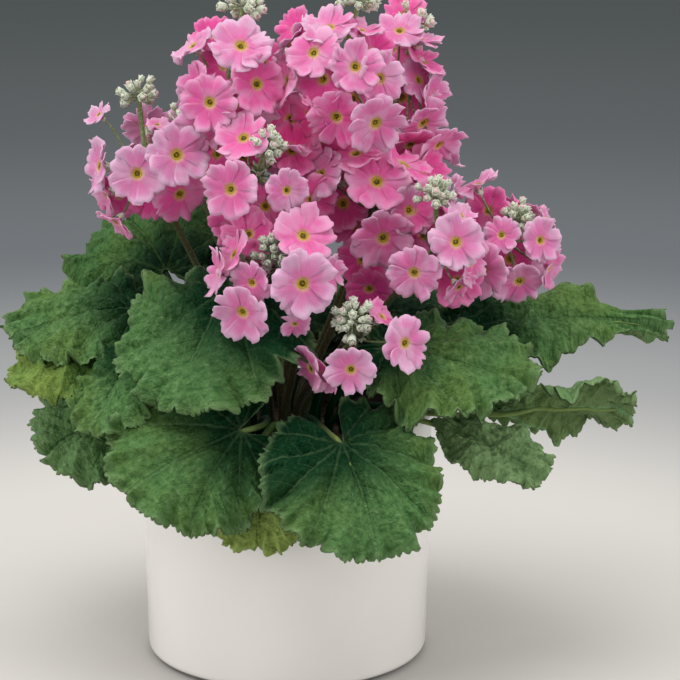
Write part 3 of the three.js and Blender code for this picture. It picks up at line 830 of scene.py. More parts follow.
@dataclass
class Pot:
    """Plain round pot, glazed white, with a rounded rim and foot."""

    top_radius: float = 66.5
    base_radius: float = 64.0
    height: float = 115.0
    wall: float = 4.0
    floor: float = 5.0
    foot: float = 3.0
    rim_round: tuple[float, int] = (1.7, 6)
    foot_round: tuple[float, int] = (1.6, 4)
    segments: int = 144

    def build(self, finish: Material) -> None:
        """Round the corners of the pot's section and spin it round the axis.

        Args:
            finish: Its material.
        """
        form = Form()
        section = [
            (0, 0), (self.base_radius - self.foot, 0), (self.base_radius, self.foot),
            (self.top_radius, self.height), (self.top_radius - self.wall, self.height),
            (self.base_radius - self.wall, self.floor), (0, self.floor),
        ]
        verts = [form.bm.verts.new((x, 0, z)) for x, z in section]
        for pair in zip(verts, verts[1:]):
            form.bm.edges.new(pair)
        for corners, (offset, steps) in ((verts[3:5], self.rim_round), (verts[1:3], self.foot_round)):
            bmesh.ops.bevel(
                form.bm, geom=corners, offset=offset, offset_type="OFFSET", affect="VERTICES",
                segments=steps, profile=0.5, material=-1,
            )
        bmesh.ops.spin(
            form.bm, geom=form.bm.verts[:] + form.bm.edges[:], axis=UP, cent=ORIGIN, dvec=ORIGIN,
            angle=TURN, steps=self.segments, use_merge=True, use_duplicate=False,
        )
        bmesh.ops.remove_doubles(form.bm, verts=form.bm.verts[:], dist=1e-3)
        form.turn_out()
        form.piece("pot_body", finish, "pot")


@dataclass
class PottingMix:
    """Crumbly domed surface of the potting mix, over a plain plug that fills the pot."""

    edge_z: float = 101.0
    crown_z: float = 105.0
    radius: float = 61.5
    side: tuple[float, float] = (61.0, 60.0)
    base: tuple[float, float] = (59.4, 5.05)
    crumbs: int = 420
    grid: tuple[int, int] = (120, 36)

    def surface_z(self, x: float, y: float) -> float:
        """Find the height of the lumpy surface.

        Args:
            x: Place to the right of the axis.
            y: Place behind the axis.

        Returns:
            The height.
        """
        share = min(hypot(x, y) / self.radius, 1.0)
        lumps = noise.fractal(Vector((x, y, 7.0)) / 9.0, 1.0, 2.0, 4)
        return lerp(self.crown_z, self.edge_z, share * share) - 0.6 + 0.9 * lumps

    def plug(self, u: float, v: float) -> Vector:
        """Give a point of the plug, whose base, side and lumpy top are one grid.

        Args:
            u: Share round the plug.
            v: Share from the base's middle to the top's.

        Returns:
            The point.
        """
        rows = self.grid[1]
        row = v * rows
        if row < 2:
            return polar(row / 2 * self.base[0], TURN * u, self.base[1])
        if row < 4:
            return polar(self.side[0], TURN * u, self.side[1])
        span, angle = self.radius * (rows - row) / (rows - 4), TURN * u
        return polar(span, angle, self.surface_z(span * cos(angle), span * sin(angle)))

    def build(self, finish: Material) -> None:
        """Lay the plug and scatter crumbs on it.

        Args:
            finish: Its material.
        """
        form = Form()
        form.grid(*self.grid, self.plug)
        form.turn_out()
        dice = Dice(SEED_CRUMBS)
        for _ in range(self.crumbs):
            spot = on_ring(360 * dice.roll(), (self.radius - 3) * sqrt(dice.roll()), 0)
            size = dice.spread(0.5, 1.5)
            spot.z = self.surface_z(spot.x, spot.y) + size * 0.35
            turn = Matrix.Rotation(dice.spread(0, 6), 4, "X") @ Matrix.Rotation(dice.spread(0, 6), 4, "Z")
            shape = Matrix.Diagonal((size, size * dice.spread(0.5, 1), size * 0.7, 1))
            place = Matrix.Translation(spot) @ turn @ shape
            bmesh.ops.create_icosphere(form.bm, subdivisions=1, radius=1.0, matrix=place)
        form.piece("mix_surface", finish, "soil")


@dataclass
class Leaf:
    """One leaf: a petiole from the mix and a frilled heart-shaped blade along a curved midrib.

    Lengths are in millimetres, and the bearing, pitch, roll and sun in degrees. The pitch runs from
    the blade's base to its tip, and a heart below 0 gives a slender base in place of two lobes.
    """

    name: str
    tone: Tone
    root: tuple[float, float]
    at: Triple
    bearing: float
    length: float
    width: float
    pitch: tuple[float, float]
    roll: float
    wave: float
    phase: float
    heart: float = 0.19
    taper: float = 0.0
    # The sun is the bearing of the blade's sunny side, and the painted light bias how much paler the whole
    # blade is painted.
    sun: float = 0.0
    painted_light_bias: float = 0.0
    stations: list[tuple[Vector, Vector, Vector, Vector]] = field(default_factory=list)

    STEPS = 24
    COLUMNS = 336
    THICKNESS = 0.9
    RIB_END = 0.87

    @property
    def middle(self) -> float:
        """Share of the length at the widest place; the lobes behind the petiole draw it back."""
        return 0.455 - self.heart / 2

    def __post_init__(self) -> None:
        """Work out the midrib's stations."""
        heading = on_ring(self.bearing, 1, 0)
        left = UP.cross(heading)
        roll = radians(self.roll)
        point = Vector(self.at)
        for i in range(self.STEPS + 1):
            pitch = radians(lerp(*self.pitch, i / self.STEPS))
            along, normal = (about(ORIGIN, heading, UP, 1, pitch + turn) for turn in (0, pi / 2))
            across, out = (about(ORIGIN, left, normal, 1, roll + turn) for turn in (0, pi / 2))
            self.stations.append((point.copy(), along, across, out))
            point += along * (self.length / self.STEPS)

    def rib(self, distance: float) -> tuple[Vector, Vector, Vector, Vector]:
        """Find a place on the midrib.

        Args:
            distance: How far from the petiole; below 0 it is behind it.

        Returns:
            The place, the midrib's direction, the side and the way out of the upper face.
        """
        where = limit(distance / self.length * self.STEPS, 0, self.STEPS - 1e-6)
        i = int(where)
        blend = [a.lerp(b, where - i) for a, b in zip(self.stations[i], self.stations[i + 1])]
        blend[0] += blend[1] * min(distance, 0)
        return tuple(blend)

    def stray(self, angle: float, grain: float, slip: float) -> float:
        """Soft noise round the blade, finer with the grain, that slips with the leaf's phase."""
        return noise.noise(Vector((grain * cos(angle), grain * sin(angle), slip * self.phase)))

    def outline(self, angle: float) -> float:
        """Draw the edge with its bays between the veins, lobes, teeth and nicks.

        Args:
            angle: Angle about the blade's middle.

        Returns:
            The reach as a share of the plain outline.
        """
        bay = 0.045 * bell(ripple(degrees(angle), 36), 3.5)
        drift = 0.035 * self.stray(angle, 2.2, 1)
        stray = self.stray(angle, 5, 3)
        lobe = 0.018 * sin(15 * angle + 3 * stray + self.phase)
        tooth = (0.050 + 0.035 * stray) * (abs(sin(42 * angle + 2 * stray)) ** 0.7 - 0.6)
        return 1.0 - bay + drift + lobe + tooth + 0.022 * self.stray(angle, 11, 1)

    def flat(self, angle: float, share: float) -> Vector:
        """Find a place on the flat leaf.

        Args:
            angle: Angle about the blade's middle, 0 at the tip.
            share: Share of the way from the middle to the edge.

        Returns:
            Along, aside and share.
        """
        back = self.middle + self.heart
        sinus = 1 - (1 - self.middle / back) * bell(pi - abs(angle), 0.16)
        reach = 1 - self.middle if cos(angle) > 0 else back * sinus
        span = share * lerp(1, self.outline(angle), share**5)
        along = self.middle + reach * cos(angle) * span
        slim = 1 - self.taper * ease(0.2, 1.0, along)
        return Vector((self.length * along, 0.5 * self.width * sin(angle) * span * slim, share))

    def light(self, angle: float, share: float) -> Vector:
        """Point data with how pale the blade is painted, from 0 on its shaded side to 1 on its sunny side."""
        return Vector((0, 0, self.painted_light_bias + 0.5 + 0.5 * share * cos(angle - radians(self.sun))))

    def blade(self, angle: float, share: float) -> Vector:
        """Find a point of the waved, frilled and domed upper face.

        Args:
            angle: Angle about the blade's middle, 0 at the tip.
            share: Share of the way from the middle to the edge.

        Returns:
            The point in space.
        """
        along, aside, _ = self.flat(angle, share)
        phase, stray = self.phase, self.stray(angle, 3, 1)
        loose = 1 - bell(pi - abs(angle), 0.6)
        rise = self.wave * share * (share * sin(6 * angle + phase) + 0.6 * sin(3 * angle + 2 * phase))
        frill = share**3 * 3.1 * sin(15 * angle + 2 * phase + 2.5 * stray)
        fine = share**5 * 2.3 * sin(27 * angle + phase + 4 * stray)
        frill += fine + 4.8 * share**4 * self.stray(angle, 8, 2)
        frill *= min(self.width / 64, 1)
        curl = -1.4 * ease(0.80, 1.0, share) * (1 + sin(8 * angle + phase))
        dome = -0.1 * self.width * (2 * aside / self.width) ** 2
        lift = 0.45 + loose * (rise + frill + curl) + dome + self.relief(along, aside)
        point, _, across, out = self.rib(along)
        return point + across * aside + out * lift

    def puff(self, radius: float, bearing: float) -> float:
        """Quilt the face between the veins, drawn out along them.

        Args:
            radius: Distance from the petiole.
            bearing: Angle at the petiole.

        Returns:
            From 0 in a crease to 1 on a bubble.
        """
        spot = Vector((radius / 7.5, bearing * max(radius, 12) / 5.0, 9 * self.phase))
        near, far = noise.voronoi(spot + noise.noise_vector(spot) * 0.5)[0][:2]
        return 1 - bell(far - near, 0.30)

    def relief(self, along: float, aside: float) -> float:
        """Find the height of the quilted upper face, folded between sunken veins.

        Args:
            along: Place along the flat leaf.
            aside: Place across it.

        Returns:
            The height.
        """
        radius, bearing = hypot(along, aside), atan2(aside, along)
        off = ripple(bearing, VEINS.fan)
        groove = bell(radius * off, 1.8) * min(radius / 8, 1)
        fold = min(radius / 30, 1.2) * cos(TURN * off / VEINS.fan) * -2.0
        branch = sin(pi * (radius - VEINS.slope * radius * off + VEINS.start) / VEINS.gap) ** 2 * 0.9
        lumps = noise.noise(Vector((along, aside, 5 * self.phase)) / 10)
        return 0.7 * self.puff(radius, bearing) + fold + branch + 2.0 * lumps - 1.2 * groove - 0.6

    @staticmethod
    def rib_radius(share: float) -> float:
        """Radius of the midrib under the blade."""
        return lerp(1.25, 0.30, share)

    def stalk(self) -> Track:
        """Draw the petiole and, under the blade, the midrib.

        Returns:
            The line, with 17 points up to the blade.
        """
        ground = on_ring(*self.root, MIX_Z)
        start, heading, _, _ = self.rib(0)
        span = (start - ground).length
        below = UP * (min(heading.z, 0) * 0.4 * span)
        arch = Track.arch(ground, ground + UP * (0.3 * span), start - heading * (0.4 * span) + below, start)
        points = [on_ring(*self.root, FOOT_Z), *arch.points[:-1]]
        for i in range(13):
            share = 0.01 + 0.86 * i / 12
            if share < self.middle:
                face = self.blade(pi, (self.middle - share) / self.middle)
            else:
                face = self.blade(0.0, (share - self.middle) / (1 - self.middle))
            points.append(face - self.rib(self.length * share)[3] * (0.80 + self.rib_radius(share)))
        return Track(points)

    def build(self, finish: Material) -> None:
        """Make the blade and its stalk as one piece.

        Args:
            finish: Its material.
        """
        def round_blade(part: Surface) -> Surface:
            """Surface over a grid's shares from one over an angle and a share outwards."""
            return lambda u, v: part((1 - 2 * u) * pi, v)

        form = Form("blade", "part")
        face = form.grid(
            self.COLUMNS, 13 if self.tone is Tone.DEEP else 17, round_blade(self.blade),
            blade=round_blade(self.flat), part=round_blade(self.light),
        )
        layer = form.data["part"]
        for vert in form.wall(face, self.THICKNESS):
            vert[layer].x = 1
        track = self.stalk()
        bare = track.reach[17] / track.reach[-1]
        wide = 2.1 if self.width > 50 else 1.8

        def radius(share: float) -> float:
            """Stout at the foot, slim where it runs on as the midrib."""
            rib = self.rib_radius((share - bare) / (1 - bare) * self.RIB_END)
            return lerp(wide, self.rib_radius(0), share / bare) if share < bare else rib

        form.mark(form.tube(track, radius, 12, 48), "part", (0, 1, 0))
        if form.bm.calc_volume(signed=True) < 0:
            bmesh.ops.reverse_faces(form.bm, faces=form.bm.faces[:])
        form.piece(f"blade_{self.name}", finish, f"leaf_{self.name}")


class BudForms:
    """Templates of the small mealy parts: bud, calyx and bract."""

    # The bud's section from its base over the calyx tips to its crown: radius, height and meal.
    BUD = [
        (0, 0, 0.6), (0.9, 0.1, 0.6), (1.5, 0.9, 0.6), (1.75, 2.0, 0.7), (1.75, 3.0, 0.9),
        (1.95, 3.9, 1.3), (1.35, 3.5, 0.3), (1.2, 4.1, 0.5), (0.7, 4.7, 0.8), (0, 4.85, 0.8),
    ]

    def __init__(self) -> None:
        """Model each template once."""
        self.buds = [self.make_bud(blush) for blush in (0.10, 0.10, 0.10, 0.10, 0.60)]
        self.calyx = self.make_calyx()
        self.bract = self.make_bract()

    def make_bud(self, blush: float) -> Mesh:
        """Model a closed bud 4 mm long, its five calyx lobes clasping the tip.

        Args:
            blush: How pink the tip is.

        Returns:
            The mesh, along +Z.
        """
        form = Form("stalk")

        def place(u: float, v: float) -> Vector:
            """Give a point of the bud.

            Args:
                u: Share round it.
                v: Share along its section.

            Returns:
                The point.
            """
            wide, rise, _ = row_at(self.BUD, v)
            wave = cos(5 * (TURN * u))
            lobe = wave * (3.0 <= rise <= 3.95 and wide > 1.3)
            wide *= 1 + 0.12 * wave * (0.5 < rise < 4)
            return polar(wide, TURN * u, rise + 0.55 * lobe * (wide > 1.5))

        def data(u: float, v: float) -> Vector:
            """Meal, whitest on the tips of the calyx, and the crown's blush."""
            return Vector((row_at(self.BUD, v)[2], blush if v > 0.7 else 0.0, 0.0))

        form.grid(15, len(self.BUD) - 1, place, stalk=data)
        form.turn_out()
        return form.mesh("bud_form")

    @staticmethod
    def make_calyx() -> Mesh:
        """Model an open bell 6 mm long with five pointed lobes.

        Returns:
            The mesh, opening to +Z.
        """
        form = Form("stalk")

        def place(u: float, v: float) -> Vector:
            """Give a point of the bell.

            Args:
                u: Share round it.
                v: Share from its base to the tips of its lobes.

            Returns:
                The point.
            """
            lobe = abs(cos(2.5 * (TURN * u)))
            wide = 0.5 + 1.75 * ease(0, 0.55, v) + 0.9 * ease(0.6, 1, v) * lobe
            rise = 5.0 * v + 1.3 * (lobe - 0.5) * ease(0.55, 1, v)
            return polar(wide, TURN * u, rise) if v > 0 else Vector()

        sheet = form.grid(20, 6, place, stalk=lambda u, v: Vector((0.72, 0.0, 0.25)))
        form.turn_out()
        form.wall(sheet, 0.3)
        return form.mesh("calyx_form")

    @staticmethod
    def make_bract() -> Mesh:
        """Model a narrow pointed leaflet of unit length, arched outwards.

        Returns:
            The mesh, along +Z.
        """
        form = Form("stalk")

        def place(u: float, v: float) -> Vector:
            """Point of the leaflet for a share across and along."""
            half = 0.13 * sin(pi * min(0.15 + 0.85 * v, 1)) ** 0.8
            return Vector(((2 * u - 1) * half, 0.55 * v * v - 0.06 * abs(2 * u - 1), v * (1 - 0.25 * v)))

        form.wall(form.grid(4, 6, place, stalk=lambda u, v: Vector((0.55, 0.0, 0.1))), 0.05)
        return form.mesh("bract_form")

    def stamp(self, form: Form, base: Vector, heading: Vector, size: float, dice: Dice) -> None:
        """Set a bud with its base at a point."""
        bud = self.buds[int(dice.roll() * len(self.buds))]
        form.stamp(bud, facing_matrix(base, heading, size, dice.spread(0, 6)))

    def ruff(self, form: Form, centre: Vector, axis: Vector, count: int, length: float, dice: Dice) -> None:
        """Set bracts round a stalk.

        Args:
            form: What they are added to.
            centre: Middle of the ruff.
            axis: The stalk's direction.
            count: How many bracts.
            length: Their mean length.
            dice: Random numbers for their unevenness.
        """
        for i in range(count):
            out = about(ORIGIN, *cross_axes(axis), 1, TURN * (i + 0.4 * dice.roll()) / count)
            size = length * dice.spread(0.75, 1.1)
            form.stamp(self.bract, placed(centre + out * 0.9, (axis.cross(out), out, axis), size))


@dataclass
class Scape:
    """One flower stalk, upright in its hole, climbing through its marks to a cluster of buds.

    The cluster has a number of buds and a reach in millimetres.
    """

    name: str
    root: tuple[float, float]
    cluster: tuple[int, float]
    via: list[Triple]

    def line(self) -> Track:
        """Line of the stalk above the mix."""
        marks = [on_ring(*self.root, MIX_Z), on_ring(*self.root, MIX_Z + 8), *map(Vector, self.via)]
        return Track.climb(marks)

    def build(self, finish: Material, buds: BudForms, seed: int) -> None:
        """Make the stalk with its buds on short pedicels and a ruff of bracts.

        Args:
            finish: Its material.
            buds: Templates of the mealy parts.
            seed: Number of the stalk.
        """
        form = Form("stalk")
        line = self.line()
        whole = Track([on_ring(*self.root, FOOT_Z), *line.points])
        form.mark(form.tube(whole, lambda t: lerp(2.0, 1.1, t), 12, 60), "stalk", (0.20, 0.0, 0.35))
        tip, axis = line.points[-1], (line.at(1) - line.at(0.97)).normalized()
        dice = Dice(SEED_STALKS + seed)
        count, reach = self.cluster
        for i in range(count):
            side = about(ORIGIN, *cross_axes(axis), 1, i * SPIRAL + 0.6 * dice.roll())
            heading = about(ORIGIN, axis, side, 1, acos(1 - 1.25 * (i + 0.5) / count))
            size = dice.spread(0.80, 1.15) * lerp(0.85, 1.05, i / count)
            away = reach * dice.spread(0.40, 0.90)
            foot = tip - axis * (0.8 + 1.2 * i / count)
            base = foot + heading * away
            bend = Track.arch(foot, foot + axis * (0.35 * away), base - heading * (0.3 * away), base, 6)
            pedicel = form.tube(bend, lambda t: lerp(0.42, 0.55, t), 6, 5)
            form.mark(pedicel, "stalk", (0.45, 0.0, 0.5))
            buds.stamp(form, base, (heading + UP * 0.15).normalized(), size, dice)
        buds.ruff(form, tip - axis, axis, 5, 5.5, dice)
        form.piece(f"stalk_{self.name}", finish, f"scape_{self.name}")


class FlowerForms:
    """Templates of the corolla, of unit radius: five notched petals round a lipped eye."""

    VARIANTS = 8
    EYE = 0.17
    KNOB = 0.082

    # The eye's section from its throat over its lip to the end of the tube: radius, height and data.
    THROAT = [
        (0.000, -0.140, -0.95), (0.045, -0.130, -0.80), (0.070, -0.100, -0.60), (0.100, -0.055, -0.42),
        (0.135, -0.040, -0.30), (0.165, -0.055, -0.16), (0.190, -0.090, -0.07), (0.150, -0.130, 0.10),
        (0.105, -0.30, 0.30), (0.095, -0.52, 0.30), (0.000, -0.52, 0.30),
    ]

    def __init__(self) -> None:
        """Model the variants once."""
        self.forms = [self.make(Dice(SEED_COROLLAS + 7 * i)) for i in range(self.VARIANTS)]

    def make(self, dice: Dice) -> Mesh:
        """Model one corolla.

        Args:
            dice: Random numbers for its unevenness.

        Returns:
            The mesh, facing +Z, its eye at the origin.
        """
        form = Form("petal", "tone")
        cup = dice.spread(0.10, 0.34)
        for i in range(5):
            self.petal(form, 72 * i + dice.spread(-4, 4), cup, dice)
        self.eye(form)
        return form.mesh("corolla_form")

    def petal(self, form: Form, bearing: float, cup: float, dice: Dice) -> None:
        """Add one petal: narrow at the eye and opening to two round lobes.

        Args:
            form: The corolla.
            bearing: Where the petal points, in degrees.
            cup: How far the corolla is cupped.
            dice: Random numbers for its unevenness.
        """
        notch = dice.spread(0.13, 0.24)
        wide = radians(dice.spread(40, 46))
        twist = dice.spread(0.04, 0.08)
        ruffle = dice.spread(0.06, 0.12)
        phase = dice.spread(0, 6)
        droop = dice.spread(-0.16, 0.14)
        reach = dice.spread(0.94, 1.02)
        uneven = dice.spread(-0.06, 0.06)
        turn = Matrix.Rotation(radians(bearing), 4, "Z")

        def place(u: float, v: float) -> Vector:
            """Give a point of the petal.

            Args:
                u: Share across.
                v: Share outwards.

            Returns:
                The point.
            """
            w = 2 * u - 1
            side = abs(w)
            lobe = max(1 - abs(2 * side - 1) ** 2.2, 0) ** 0.6
            frilled = noise.noise(Vector((4.5 * w, phase, 3 * cup)))
            tip = reach * (1 + uneven * w) * lerp(lerp(1 - notch, 0.84, side), 1, lobe)
            span = lerp(self.EYE * 0.9, tip - 0.010 * cos(13 * w + phase) + 0.10 * frilled, v)
            angle = wide * w * (0.85 + 0.15 * ease(0, 0.6, v))
            z = cup * (span - 0.5) + 0.02 + droop * ease(0.3, 1.0, v) * v - 0.05 * w * w * v
            z += twist * w * v + ruffle * (sin(4 * w + phase) + 1.6 * frilled) * v**3
            z -= 0.04 * bell(w, 0.20) * ease(0.1, 0.5, v)
            return turn @ Vector((span * cos(angle), -span * sin(angle), z))

        sheet = form.grid(14, 6, place, petal=lambda u, v: Vector((2 * u - 1, v, 0)))
        layer = form.data["petal"]
        for vert in form.wall(sheet, 0.030):
            vert[layer].z = 1.0

    def eye(self, form: Form) -> None:
        """Add the lipped throat, the tube behind it and the knob within.

        Args:
            form: The corolla.
        """
        def place(u: float, v: float) -> Vector:
            """Give a point of the eye.

            Args:
                u: Share round it.
                v: Share along its section.

            Returns:
                The point.
            """
            radius, z, _ = row_at(self.THROAT, v)
            star = 1 + 0.05 * cos(5 * (TURN * u)) * (0.07 < radius < 0.24)
            return polar(radius * star, TURN * u, z)

        def data(u: float, v: float) -> Vector:
            """Place across and along the petals, as the section gives it."""
            return Vector((0.9, row_at(self.THROAT, v)[2], 0))

        form.turn_out(form.grid(20, len(self.THROAT) - 1, place, petal=data))
        spot = Matrix.Translation((0, 0, -0.125))
        knob = bmesh.ops.create_icosphere(form.bm, subdivisions=1, radius=self.KNOB, matrix=spot)
        form.mark(knob["verts"], "petal", (0.9, -0.55, 0))


@dataclass
class Bloom:
    """One flower of a whorl: where its eye is, where it faces, its size and how deep a painted shade of
    magenta it takes.
    """

    offset: Vector
    facing: Vector
    diameter: float
    depth: float


@dataclass
class Whorl:
    """One whorl of flowers round a scape, with its calyces, pedicels and bracts.

    Open flowers face the viewer and shaded ones face upwards; both have their place to the right and
    upwards in the picture, diameter, distance from the middle and how deep a painted shade they take.
    Deep ones have their place, diameter and distance behind the middle. Those behind are a number and a sweep
    of bearings.
    """

    name: str
    at: Triple
    behind: tuple[int, float, float]
    fill: int
    open: list[tuple[float, ...]]
    shaded: list[tuple[float, ...]]
    deep: list[tuple[float, ...]] = field(default_factory=list)
    scape: str = ""

    def offset(self, right: float, up: float, near: float) -> Vector:
        """Step in space from the whorl's middle, given by steps in the picture."""
        middle = Vector(self.at)
        return in_picture(middle, right, up, near) - in_picture(middle)

    def seen(self, row: tuple[float, ...], lean: Vector) -> Bloom:
        """Place a flower that the viewer sees.

        Args:
            row: Right, up, diameter, distance from the middle and how deep a painted shade it takes.
            lean: What turns its face away from straight outwards.

        Returns:
            The flower.
        """
        right, up, diameter, reach, depth = row
        offset = self.offset(right, up, sqrt(max(reach * reach - right * right - up * up, 0)))
        return Bloom(offset, (offset.normalized() + lean).normalized(), diameter, depth)

    def inner(self, row: tuple[float, ...]) -> Bloom:
        """Place a flower behind the whorl's middle that closes a gap in the picture.

        Args:
            row: Right, up, diameter and distance behind the middle.

        Returns:
            The flower.
        """
        right, up, diameter, back = row
        facing = RIGHT * (0.02 * right) + SIGHT_UP * (0.02 * up) + TOWARD
        # Flowers behind the middle take a deep painted shade.
        return Bloom(self.offset(right, up, -back), facing.normalized(), diameter, 0.80)

    def far_side(self, seed: int) -> list[Bloom]:
        """Spread flowers over the far side, in two rows over a sweep of bearings.

        Args:
            seed: Number of the whorl.

        Returns:
            The flowers.
        """
        count, start, end = self.behind
        dice = Dice(SEED_FAR + seed)
        blooms = []
        for i in range(count):
            climb = 0.45 if i % 2 else -0.3
            heading = on_ring(lerp(start, end, (i + 0.5) / count), sqrt(1 - climb * climb), climb)
            facing = (heading + UP * 0.15).normalized()
            reach = 25 + 3 * dice.roll()
            blooms.append(Bloom(heading * reach, facing, 22 + 3 * dice.roll(), 0.35))
        return blooms

    def fillers(self, taken: list[Bloom], seed: int) -> list[Bloom]:
        """Set deeper flowers in the gaps that the viewer sees through, none in front of the others.

        Args:
            taken: The flowers that are there.
            seed: Number of the whorl.

        Returns:
            The new flowers.
        """
        dice = Dice(SEED_FILLERS + seed)
        found = []
        tries = 90
        for i in range(tries):
            z = 0.65 - 1.1 * (i + 0.5) / tries
            heading = on_ring(i * SPIRAL_DEGREES, sqrt(1 - z * z), z)
            if heading.dot(TOWARD) > 0.0 or abs(heading.x) > 0.5:
                continue
            close = max((heading.dot(b.offset.normalized()) for b in taken + found), default=-1)
            if close > 0.72 or len(found) >= self.fill:
                continue
            facing = (heading + UP * 0.15 + TOWARD * 0.2).normalized()
            offset = heading * dice.spread(17, 22)
            found.append(Bloom(offset, facing, dice.spread(21, 25), dice.spread(0.5, 0.9)))
        return found

    def blooms(self, seed: int) -> list[Bloom]:
        """Collect all flowers of the whorl.

        Args:
            seed: Number of the whorl.

        Returns:
            The flowers.
        """
        known = [self.seen(row, TOWARD * 0.35) for row in self.open]
        known += [self.seen(row, UP * 0.15) for row in self.shaded]
        known += [self.inner(row) for row in self.deep]
        known += self.far_side(seed)
        return known + self.fillers(known, seed)

    def build(
        self, petals: Material, stalks: Material, flowers: FlowerForms, buds: BudForms, line: Track,
        seed: int,
    ) -> None:
        """Make the whorl's corollas as one piece and its green parts as another.

        Args:
            petals: Finish of the corollas.
            stalks: Finish of the green parts.
            flowers: Corolla templates.
            buds: Templates of the mealy parts.
            line: Line of the scape.
            seed: Number of the whorl.
        """
        corollas = Form("petal", "tone")
        greens = Form("stalk")
        middle = in_picture(Vector(self.at))
        foot, axis = line.nearest(middle)
        dice = Dice(SEED_WHORLS + seed)
        for bloom in self.blooms(seed):
            centre = middle + bloom.offset
            scale = bloom.diameter / 2
            template = flowers.forms[int(dice.roll() * flowers.VARIANTS)]
            place = facing_matrix(centre, bloom.facing, scale, dice.spread(0, 6.3))
            # Each flower's painted shade, a little uneven, goes to the tone layer.
            depth = limit(bloom.depth + dice.spread(-0.10, 0.10), 0, 1)
            corollas.stamp(template, place, tone=(depth, dice.roll(), 0.0))
            size = 0.9 * scale / 13
            base = centre - bloom.facing * (2.6 + 5.2 * size)
            greens.stamp(buds.calyx, facing_matrix(base, bloom.facing, size, dice.spread(0, 6.3)))
            span = (base - foot).length
            outward = (bloom.offset - axis * bloom.offset.dot(axis)).normalized()
            start = foot + outward * 0.8
            bend = Track.arch(
                start, start + (outward + axis * 0.4) * (0.35 * span),
                base - bloom.facing * (0.35 * span), base + bloom.facing * 0.3,
            )
            pedicel = greens.tube(bend, lambda t: lerp(0.62, 0.5, t), 7, 10)
            greens.mark(pedicel, "stalk", (0.25, 0.0, dice.spread(0.1, 0.9)))
        buds.ruff(greens, foot, axis, 7, 8.0, dice)
        corollas.piece(f"corollas_{self.name}", petals, f"head_{self.name}")
        greens.piece(f"calyces_{self.name}", stalks, f"head_{self.name}")


# Face, warm patches, shade, veins and rim of each tone; the shade is painted shade and the rim a painted
# highlight.
LEAF_COLOURS = {
    Tone.GREEN: ((0.090, 0.208, 0.062), (0.116, 0.216, 0.052), (0.000, 0.032, 0.009), (0.18, 0.33, 0.15),
                 (0.24, 0.38, 0.17)),
    # The deep tone is the green painted darker as shade, for the leaves at the back.
    Tone.DEEP: ((0.062, 0.160, 0.046), (0.080, 0.165, 0.040), (0.001, 0.020, 0.007), (0.12, 0.24, 0.07),
                (0.15, 0.25, 0.08)),
    Tone.LIME: ((0.195, 0.315, 0.075), (0.235, 0.325, 0.065), (0.095, 0.205, 0.045), (0.34, 0.45, 0.15),
                (0.32, 0.42, 0.11)),
}

LEAVES = [
    Leaf("front", Tone.GREEN, (-72, 26), (25, -84, 123), -62, 57, 80, (-30, -80), 12, 1.4, 0.9, 0.46, 0, 35),
    Leaf("front_left", Tone.GREEN, (-118, 26), (-18, -73, 125), -160, 60, 78, (-12, -38), -55, 2.0, 1.1,
         0.30, 0, 35, 0.05),
    Leaf("left_low", Tone.GREEN, (-155, 26), (-62, -23, 121), -172, 54, 68, (-4, -42), -40, 3, 2.2,
         painted_light_bias=0.55),
    Leaf("right_low", Tone.GREEN, (-42, 26), (64, -46, 121), -24, 59, 32, (-6, -32), 34, 2.2, 0.2, -0.08,
         painted_light_bias=1.4),
    Leaf("right_turned", Tone.GREEN, (-10, 26), (92, -30, 121), 6, 66, 38, (14, -16), -52, 2.2, 1.9, -0.12,
         painted_light_bias=1.0),
    Leaf("lime_low", Tone.LIME, (-97, 26), (-10, -70, 118.5), -97, 49, 58, (-64, -88), 0, 0.8, 2.8, 0.10,
         painted_light_bias=1.0),
    Leaf("back_left_low", Tone.DEEP, (155, 26), (-58, 28, 124), 142, 58, 66, (0, -42), 0, 3, 0.9),
    Leaf("back_low", Tone.DEEP, (112, 26), (-20, 60, 127), 106, 72, 76, (-2, -56), 0, 3, 2.5),
    Leaf("back_right_low", Tone.DEEP, (62, 26), (34, 48, 130), 64, 68, 84, (6, -44), 0, 3, 1.4, 0.26),
    Leaf("right_back_low", Tone.DEEP, (22, 26), (56, 20, 123), 22, 64, 66, (0, -38), 0, 3, 0.1, 0.24),
    Leaf("upper_front", Tone.GREEN, (-122, 18), (-22, -36, 181), -118, 72, 92, (-18, -64), 0, 3.4, 0.8,
         0.24, 0, -75, -0.22),
    Leaf("upper_left", Tone.GREEN, (179, 18), (-66, -10, 164), 190, 62, 60, (8, -36), -24, 3.2, 1.7,
         painted_light_bias=0.2),
    Leaf("lime_left", Tone.LIME, (-160, 18), (-76, -24, 145), 190, 50, 40, (6, -28), -26, 2.4, 0.5,
         painted_light_bias=-0.1),
    Leaf("raised_left", Tone.DEEP, (150, 18), (-55, 22, 172), 116, 58, 86, (36, 0), -24, 3.4, 2.4,
         sun=40, painted_light_bias=0.1),
    Leaf("small_left", Tone.GREEN, (-141, 18), (-62, -43, 153), -132, 48, 50, (-22, -64), 0, 2.4, 1.2,
         painted_light_bias=0.2),
    Leaf("upper_right", Tone.GREEN, (-48, 18), (46, -44, 155), -18, 68, 70, (0, -20), 22, 3, 2.1, 0.24,
         painted_light_bias=0.20),
    Leaf("long_right", Tone.GREEN, (-2, 19), (76, 2, 152), 1, 101, 56, (13, -15), 26, 3.4, 0.3, 0.12, 0.70,
         painted_light_bias=0.15),
    Leaf("upper_back_right", Tone.DEEP, (40, 18), (42, 36, 148), 46, 66, 76, (22, -28), 0, 3.2, 2.9),
    Leaf("upper_back", Tone.DEEP, (78, 18), (0, 44, 145), 92, 64, 84, (32, -24), 0, 3.2, 1.6),
]

